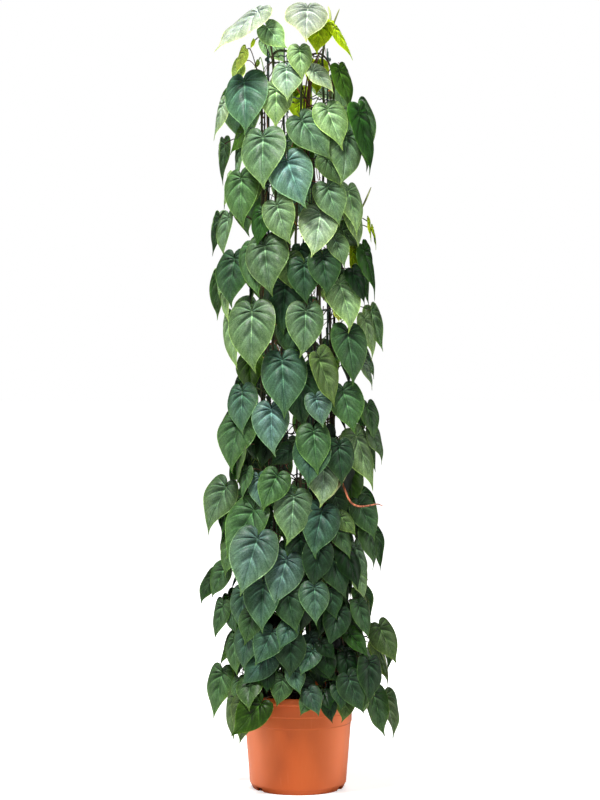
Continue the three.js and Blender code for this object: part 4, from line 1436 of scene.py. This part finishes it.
def colour(code):
    return (*fromHex(code), 1)


def newGroup(name, inputs, outputs):
    group = bpy.data.node_groups.new(name, "ShaderNodeTree")
    for label, value in inputs.items():
        group.interface.new_socket(label, in_out="INPUT", socket_type="NodeSocketFloat").default_value = value
    for label in outputs:
        group.interface.new_socket(label, in_out="OUTPUT", socket_type="NodeSocketFloat")
    return group, placeNode(group, "NodeGroupInput"), placeNode(group, "NodeGroupOutput")


# Veins, midrib and margin of a blade, with a painted shadow on the notch side of each vein and a painted
# sheen on its tip side, read from the vein map: across it run the numbered veins, and each leaf's numbers
# start at its own multiple of 16
def makeVeinGroup():
    labels = ["Vein", "GrooveShadow", "PaintedSheen", "Rib", "Margin", "Streak", "Mottle", "Fleck", "Height"]
    group, given, made = newGroup("leafVeins", {"Rib Width": 0.045, "Margin Width": 0.028}, labels)

    def times(first, *others):
        for other in others:
            first = sumNode(group, "MULTIPLY", first, other)
        return first

    def ramp(value, low, high, toLow=0.0):
        return rangeNode(group, value, low, high, toLow)

    place = placeNode(group, "ShaderNodeUVMap", uv_map="veinMap").outputs["UV"]
    split = placeNode(group, "ShaderNodeSeparateXYZ", {0: place})
    own, reach = split.outputs["X"], split.outputs["Y"]
    number = sumNode(group, "MODULO", sumNode(group, "ADD", own, 2.0), 16.0)
    order = times(ramp(number, 1.4, 2.9, 0.2), ramp(number, 6.8, 5.2))
    side = sumNode(group, "SUBTRACT", 0.5, sumNode(group, "FRACT", sumNode(group, "ADD", number, 0.5)))
    spread = sumNode(group, "MULTIPLY_ADD", reach, 0.85, 0.15)
    away = times(sumNode(group, "ABSOLUTE", side), spread)
    vein = times(ramp(away, 0.07, 0.0), ramp(reach, 0.98, 0.5), order)
    wide = times(side, sumNode(group, "MULTIPLY_ADD", reach, 2.0, 1.0))
    # Painted shadow: a dark wedge on the notch side of each vein, which the bump also sinks
    grooveShadow = times(ramp(side, 0.0, 0.05), ramp(wide, 0.75, 0.2), ramp(reach, 0.78, 0.12), order)
    # Painted highlight: the slope on the tip side of each vein lightened
    paintedSheen = times(ramp(side, -0.5, -0.2), ramp(side, 0.02, -0.08))
    paintedSheen = times(paintedSheen, ramp(reach, 0.92, 0.3), ramp(reach, 0.0, 0.12), order)
    rib = sumNode(group, "SUBTRACT", 1.0, ramp(reach, 0.0, given.outputs["Rib Width"]))
    # The margin, lightened in the blade material partly as its own paler rim and partly as painted highlight
    marginStart = sumNode(group, "SUBTRACT", 1.0, given.outputs["Margin Width"])
    margin = sumNode(group, "MULTIPLY", sumNode(group, "SUBTRACT", reach, marginStart), 60.0, clamp=True)
    line = placeNode(group, "ShaderNodeCombineXYZ", {"X": times(own, 5.0), "Y": times(reach, 1.6)})
    streak = noiseNode(group, line.outputs[0], 1.0, 4.0)
    where = placeNode(group, "ShaderNodeTexCoord").outputs["Object"]
    cloud = noiseNode(group, where, 55.0, 4.0)
    fine = noiseNode(group, where, 420.0, 3.0)
    height = sumNode(group, "MULTIPLY_ADD", fine, 0.5, streak)
    height = sumNode(group, "MULTIPLY_ADD", grooveShadow, -0.4, height)
    height = sumNode(group, "MULTIPLY_ADD", rib, -0.6, height)
    results = (vein, grooveShadow, paintedSheen, rib, margin, streak, cloud, fine, height)
    for label, value in zip(labels, results):
        group.links.new(value, made.inputs[label])
    return group


# Grain that all the hard finishes share: a broad cloud, a fine one and their height
def makeGrainGroup():
    labels = ["Cloud", "Grain", "Height"]
    inputs = {"Cloud Scale": 20.0, "Grain Scale": 300.0, "Stretch": 1.0}
    group, given, made = newGroup("surfaceGrain", inputs, labels)
    where = placeNode(group, "ShaderNodeTexCoord").outputs["Object"]
    size = placeNode(group, "ShaderNodeCombineXYZ", {"X": 1.0, "Y": 1.0, "Z": given.outputs["Stretch"]})
    sides = {0: where, 1: size.outputs[0]}
    where = placeNode(group, "ShaderNodeVectorMath", sides, operation="MULTIPLY").outputs[0]
    cloud = noiseNode(group, where, given.outputs["Cloud Scale"], 5.0)
    grain = noiseNode(group, where, given.outputs["Grain Scale"], 3.0)
    height = sumNode(group, "MULTIPLY_ADD", grain, 0.7, sumNode(group, "MULTIPLY", cloud, 0.3))
    for label, value in zip(labels, (cloud, grain, height)):
        group.links.new(value, made.inputs[label])
    return group


veinGroup = makeVeinGroup()
grainGroup = makeGrainGroup()


def newMaterial(name, **constants):
    material = bpy.data.materials.new(name)
    material.use_nodes = True
    tree = material.node_tree
    shader = tree.nodes["Principled BSDF"]
    for label, value in constants.items():
        shader.inputs[label.replace("_", " ")].default_value = value
    return material, tree, shader


def useGroup(tree, group, **values):
    node = tree.nodes.new("ShaderNodeGroup")
    node.node_tree = group
    for label, value in values.items():
        node.inputs[label.replace("_", " ")].default_value = value
    return node.outputs


def finishShader(tree, shader, base, rough, height, depth):
    tree.links.new(base, shader.inputs["Base Color"])
    tree.links.new(rough, shader.inputs["Roughness"])
    bump = placeNode(tree, "ShaderNodeBump", {"Height": height, "Distance": depth, "Strength": 1.0})
    tree.links.new(bump.outputs["Normal"], shader.inputs["Normal"])


leafLook = {
    "touches": {
        # Painted sheen: the slope on the tip side of each vein lightened, as if lit from above
        "PaintedSheen": (0.9, (1.34, 1.36, 1.42)),
        # Painted shadow: the groove on the notch side of each vein darkened
        "GrooveShadow": (0.95, (0.2, 0.24, 0.22)),
        "Vein": (0.9, (2.15, 2.2, 2.15)),
        "Rib": (0.9, (2.9, 2.9, 2.8)),
        # The margin line: partly the blade's own paler rim, partly a painted highlight where the rim catches
        # the light
        "Margin": (0.9, (2.6, 2.6, 2.0)),
    },
    "mottle": (0.74, 0.78, 0.72),
    "streak": (0.72, 0.76, 0.76),
    "streakLift": (1.25, 1.25, 1.27),
    "fleck": (0.74, 0.78, 0.76),
    "fleckLift": (1.25, 1.22, 1.22),
    "ribWidth": 0.058,
    "marginWidth": 0.038,
    "gloss": 0.12,
    "rough": (0.3, 0.42),
    "underRougher": 0.1,
    "depth": 0.0006,
    "underColour": "#7f9a78",
    "underShare": 0.35,
    "glowWeight": 0.12,
    "glowReach": (0.5, 1.0, 0.12),
    "glowScale": 0.003,
}


def tintOf(tree):
    return placeNode(tree, "ShaderNodeVertexColor", layer_name="tint").outputs["Color"]


def makeBladeMaterial(name, isUnder):
    look = leafLook
    material, tree, shader = newMaterial(name, Specular_IOR_Level=look["gloss"])
    shader.inputs["Subsurface Weight"].default_value = look["glowWeight"]
    shader.inputs["Subsurface Radius"].default_value = look["glowReach"]
    shader.inputs["Subsurface Scale"].default_value = look["glowScale"]
    veins = useGroup(tree, veinGroup, Rib_Width=look["ribWidth"], Margin_Width=look["marginWidth"])
    base = tintOf(tree)
    if isUnder:
        base = blendNode(tree, look["underShare"], base, colour(look["underColour"]))
    layers = [
        (rangeNode(tree, veins["Mottle"], 0.66, 0.36), look["mottle"]),
        (rangeNode(tree, veins["Streak"], 0.5, 0.36), look["streak"]),
        (rangeNode(tree, veins["Streak"], 0.5, 0.66), look["streakLift"]),
        (rangeNode(tree, veins["Fleck"], 0.52, 0.36), look["fleck"]),
        (rangeNode(tree, veins["Fleck"], 0.52, 0.66), look["fleckLift"]),
    ]
    # Veins and midrib lightened, the margin lightened partly as painted highlight, and the painted sheen and
    # painted groove shadow laid on beside the veins
    for label, (share, paint) in look["touches"].items():
        share *= 0.5 if isUnder and label == "GrooveShadow" else 1
        layers.append((sumNode(tree, "MULTIPLY", veins[label], share), paint))
    for share, paint in layers:
        base = blendNode(tree, share, base, blendNode(tree, 1.0, base, (*paint, 1), kind="MULTIPLY"))
    low, high = (value + look["underRougher"] * isUnder for value in look["rough"])
    rough = rangeNode(tree, veins["Mottle"], 0.3, 0.7, low, high)
    finishShader(tree, shader, base, rough, veins["Height"], look["depth"])
    return material


# Bark, stalks, roots and soil: their own tint with darker clouds, and a grain that roughens it
def makeGrainyMaterial(name, scales, rough, depth, gloss=0.35, shade="#8f857a", clouds=(0.35, 0.65)):
    material, tree, shader = newMaterial(name, Specular_IOR_Level=gloss)
    cloudScale, grainScale, stretch = scales
    grain = useGroup(tree, grainGroup, Cloud_Scale=cloudScale, Grain_Scale=grainScale, Stretch=stretch)
    base = tintOf(tree)
    dark = blendNode(tree, 1.0, base, colour(shade), kind="MULTIPLY")
    base = blendNode(tree, rangeNode(tree, grain["Cloud"], *clouds), dark, base)
    rough = rangeNode(tree, grain["Grain"], 0.3, 0.7, *rough)
    finishShader(tree, shader, base, rough, grain["Height"], depth)
    return material


potLook = {
    "deep": "#b3501c",
    "light": "#bb5722",
    # Painted sheen: upright sides lightened towards their grazing edges, as if catching the side lights
    "edge": "#ea7d4c",
    "edgeSheenReach": (0.04, 0.55),
    "scuff": "#e38f62",
    "scuffShare": 0.07,
    "rough": (0.42, 0.54),
    "depth": 0.00025,
}
wireLook = {"deep": "#173327", "light": "#24483a", "rough": (0.32, 0.48), "depth": 0.0002}


def makePotMaterial():
    material, tree, shader = newMaterial("terracottaPlastic", Specular_IOR_Level=0.25)
    grain = useGroup(tree, grainGroup, Cloud_Scale=9.0, Grain_Scale=650.0, Stretch=0.5)
    streaks = useGroup(tree, grainGroup, Cloud_Scale=60.0, Grain_Scale=240.0, Stretch=0.06)
    share = rangeNode(tree, grain["Cloud"], 0.35, 0.65)
    base = blendNode(tree, share, colour(potLook["deep"]), colour(potLook["light"]))
    scuff = rangeNode(tree, streaks["Grain"], 0.58, 0.75)
    scuff = sumNode(tree, "MULTIPLY", scuff, potLook["scuffShare"])
    base = blendNode(tree, scuff, base, colour(potLook["scuff"]))
    # Painted sheen: the pot's upright sides lighter where they turn away from view
    grazing = placeNode(tree, "ShaderNodeLayerWeight", {"Blend": 0.5}).outputs["Facing"]
    normal = placeNode(tree, "ShaderNodeTexCoord").outputs["Normal"]
    level = placeNode(tree, "ShaderNodeSeparateXYZ", {0: normal}).outputs["Z"]
    upright = rangeNode(tree, sumNode(tree, "ABSOLUTE", level), 0.45, 0.15)
    edgeShare = sumNode(tree, "MULTIPLY", rangeNode(tree, grazing, *potLook["edgeSheenReach"]), upright)
    base = blendNode(tree, edgeShare, base, colour(potLook["edge"]))
    rough = rangeNode(tree, streaks["Cloud"], 0.35, 0.65, *potLook["rough"])
    finishShader(tree, shader, base, rough, grain["Height"], potLook["depth"])
    return material


def makeWireMaterial():
    material, tree, shader = newMaterial("coatedWire", Specular_IOR_Level=0.5)
    grain = useGroup(tree, grainGroup, Cloud_Scale=120.0, Grain_Scale=700.0, Stretch=0.4)
    share = rangeNode(tree, grain["Cloud"], 0.35, 0.65)
    base = blendNode(tree, share, colour(wireLook["deep"]), colour(wireLook["light"]))
    rough = rangeNode(tree, grain["Grain"], 0.3, 0.7, *wireLook["rough"])
    finishShader(tree, shader, base, rough, grain["Height"], wireLook["depth"])
    return material


print("building the pot, the soil and the column")
pot = makePot(makePotMaterial())
soilFinish = makeGrainyMaterial(
    "barkSoil", (90.0, 520.0, 1.0), (0.8, 0.97), 0.002, gloss=0.2, shade="#6f665c", clouds=(0.4, 0.6)
)
soil = makeSoil(soilFinish)
column = makeColumn(makeWireMaterial())

print("building the vines")
plantFinishes = [
    makeBladeMaterial("bladeTop", False),
    makeBladeMaterial("bladeUnderside", True),
    makeGrainyMaterial("leafStalk", (120.0, 500.0, 0.15), (0.4, 0.55), 0.0003),
    makeGrainyMaterial("vineBark", (90.0, 420.0, 0.25), (0.5, 0.75), 0.0008),
    makeGrainyMaterial("airRoot", (140.0, 600.0, 0.5), (0.5, 0.7), 0.0004),
    makeGrainyMaterial("rolledLeaf", (60.0, 400.0, 0.2), (0.4, 0.5), 0.0003),
]
pieces = []
for vine in vines:
    parts = [makeStem(vine)]
    for leaf in vine["leaves"]:
        parts += [makeBlade(leaf), makeStalk(leaf)]
    parts += makeRoots(vine)
    if vine["wraps"]:
        parts.append(makeWrap(vine))
    if vine["name"] == "climbing_vine_2":
        parts += [makeSprig(*sprig) for sprig in sprigs.values()]
    vinePiece = buildPiece(vine["name"] + "_plant", parts, plantFinishes)
    pieces.append((vinePiece, vine["name"], "leaf"))
oldStems = makeRunners() + makeTangle(tangleRules) + makeTangle(rootletRules)
runners = buildPiece("old_runners", oldStems, [plantFinishes[barkFinish]])

pieces += [(pot, "pot", "pot_plastic"), (soil, "soil", "soil"), (column, "wire_column", "wire")]
for piece, node, slot in pieces:
    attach(piece, "root")
    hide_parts(node)
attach(runners, "root")

# Studio: a pale floor, soft light all round, a broad lamp above the top, and one at each side

studio = {
    "floor": ("#ecece9", "#e6e6e3"),
    "floorRadius": 30.0,
    "floorFacets": 96,
    "floorGlow": (0.6, 1.0),
    "floorFade": (0.3, 1.8),
    "ambient": 0.05,
    "backdrop": 1.0,
    "topLamp": (430.0, 1.2, (-1.2, -2.3, 4.9), (0, 0, 1.0)),
    "frontLamp": (20.0, 1.6, (0.5, -2.9, 2.0), (0, 0, 1.4)),
    "leftLamp": (19.0, 1.6, (-2.7, -0.3, 1.1), (0, 0, 0.7)),
    "rightLamp": (19.0, 1.6, (2.7, -0.2, 1.1), (0, 0, 0.7)),
    "backLamp": (60.0, 1.8, (0.4, 2.8, 2.8), (0, 0, 1.1)),
}


def addLamp(name, power, size, place, aim):
    lamp = bpy.data.lights.new(name, "AREA")
    lamp.energy = power
    lamp.shape = "DISK"
    lamp.size = size
    holder = placeObject(name, lamp)
    holder.location = place
    holder.rotation_euler = (Vector(aim) - Vector(place)).to_track_quat("-Z", "Y").to_euler()


def makeFloor():
    mesh = bpy.data.meshes.new("floor")
    radius, facets = studio["floorRadius"], studio["floorFacets"]
    turns = [i * 2 * math.pi / facets for i in range(facets)]
    corners = [(radius * math.cos(t), radius * math.sin(t), 0) for t in turns]
    mesh.from_pydata(corners, [], [tuple(range(facets))])
    material, tree, shader = newMaterial("paleFloor", Roughness=0.8, Specular_IOR_Level=0.2)
    noise = placeNode(tree, "ShaderNodeTexNoise", {"Scale": 3.0, "Detail": 3.0})
    pale, paler = (colour(code) for code in studio["floor"])
    tree.links.new(blendNode(tree, noise.outputs["Fac"], pale, paler), shader.inputs["Base Color"])
    where = placeNode(tree, "ShaderNodeTexCoord").outputs["Object"]
    away = placeNode(tree, "ShaderNodeVectorMath", {0: where}, operation="LENGTH").outputs["Value"]
    glow = rangeNode(tree, away, *studio["floorFade"], *studio["floorGlow"])
    seen = placeNode(tree, "ShaderNodeLightPath").outputs["Is Camera Ray"]
    tree.links.new(sumNode(tree, "MULTIPLY", glow, seen), shader.inputs["Emission Strength"])
    shader.inputs["Emission Color"].default_value = (1, 1, 1, 1)
    mesh.materials.append(material)
    floor = placeObject("floor", mesh)


def makeSky():
    world = bpy.data.worlds.new("studio")
    bpy.context.scene.world = world
    world.use_nodes = True
    tree = world.node_tree
    tree.nodes.clear()
    seen = placeNode(tree, "ShaderNodeBackground", {"Strength": studio["backdrop"]})
    lit = placeNode(tree, "ShaderNodeBackground", {"Strength": studio["ambient"]})
    seen.inputs["Color"].default_value = (1, 1, 1, 1)
    lit.inputs["Color"].default_value = (0.97, 0.99, 1, 1)
    path = placeNode(tree, "ShaderNodeLightPath")
    inputs = {0: path.outputs["Is Camera Ray"], 1: lit.outputs[0], 2: seen.outputs[0]}
    mixed = placeNode(tree, "ShaderNodeMixShader", inputs)
    placeNode(tree, "ShaderNodeOutputWorld", {"Surface": mixed.outputs[0]})


print("setting up the studio")
makeFloor()
makeSky()
for lampName in ("topLamp", "frontLamp", "leftLamp", "rightLamp", "backLamp"):
    addLamp(lampName, *studio[lampName])

# Camera: the photograph's own place, with its axis at this pixel of the 600 by 800 image
imageSize = (600, 800)
view = {
    "place": (0.0, -viewDistance * mm, viewHeight * mm),
    "focal": 2216,
    "axisX": 298,
    "horizonY": 341,
    "sensor": 36,
    "clip": (0.1, 50),
}
cameraData = bpy.data.cameras.new("camera")
cameraData.sensor_width = view["sensor"]
cameraData.lens = view["focal"] * cameraData.sensor_width / max(imageSize)
cameraData.clip_start, cameraData.clip_end = view["clip"]
camera = placeObject("camera", cameraData)
pitch = math.atan((imageSize[1] / 2 - view["horizonY"]) / view["focal"])
pan = math.atan((imageSize[0] / 2 - view["axisX"]) / view["focal"])
camera.location = view["place"]
camera.rotation_euler = (math.pi / 2 - pitch, 0, -pan)
bpy.context.scene.camera = camera
bpy.context.scene.view_settings.view_transform = "Standard"
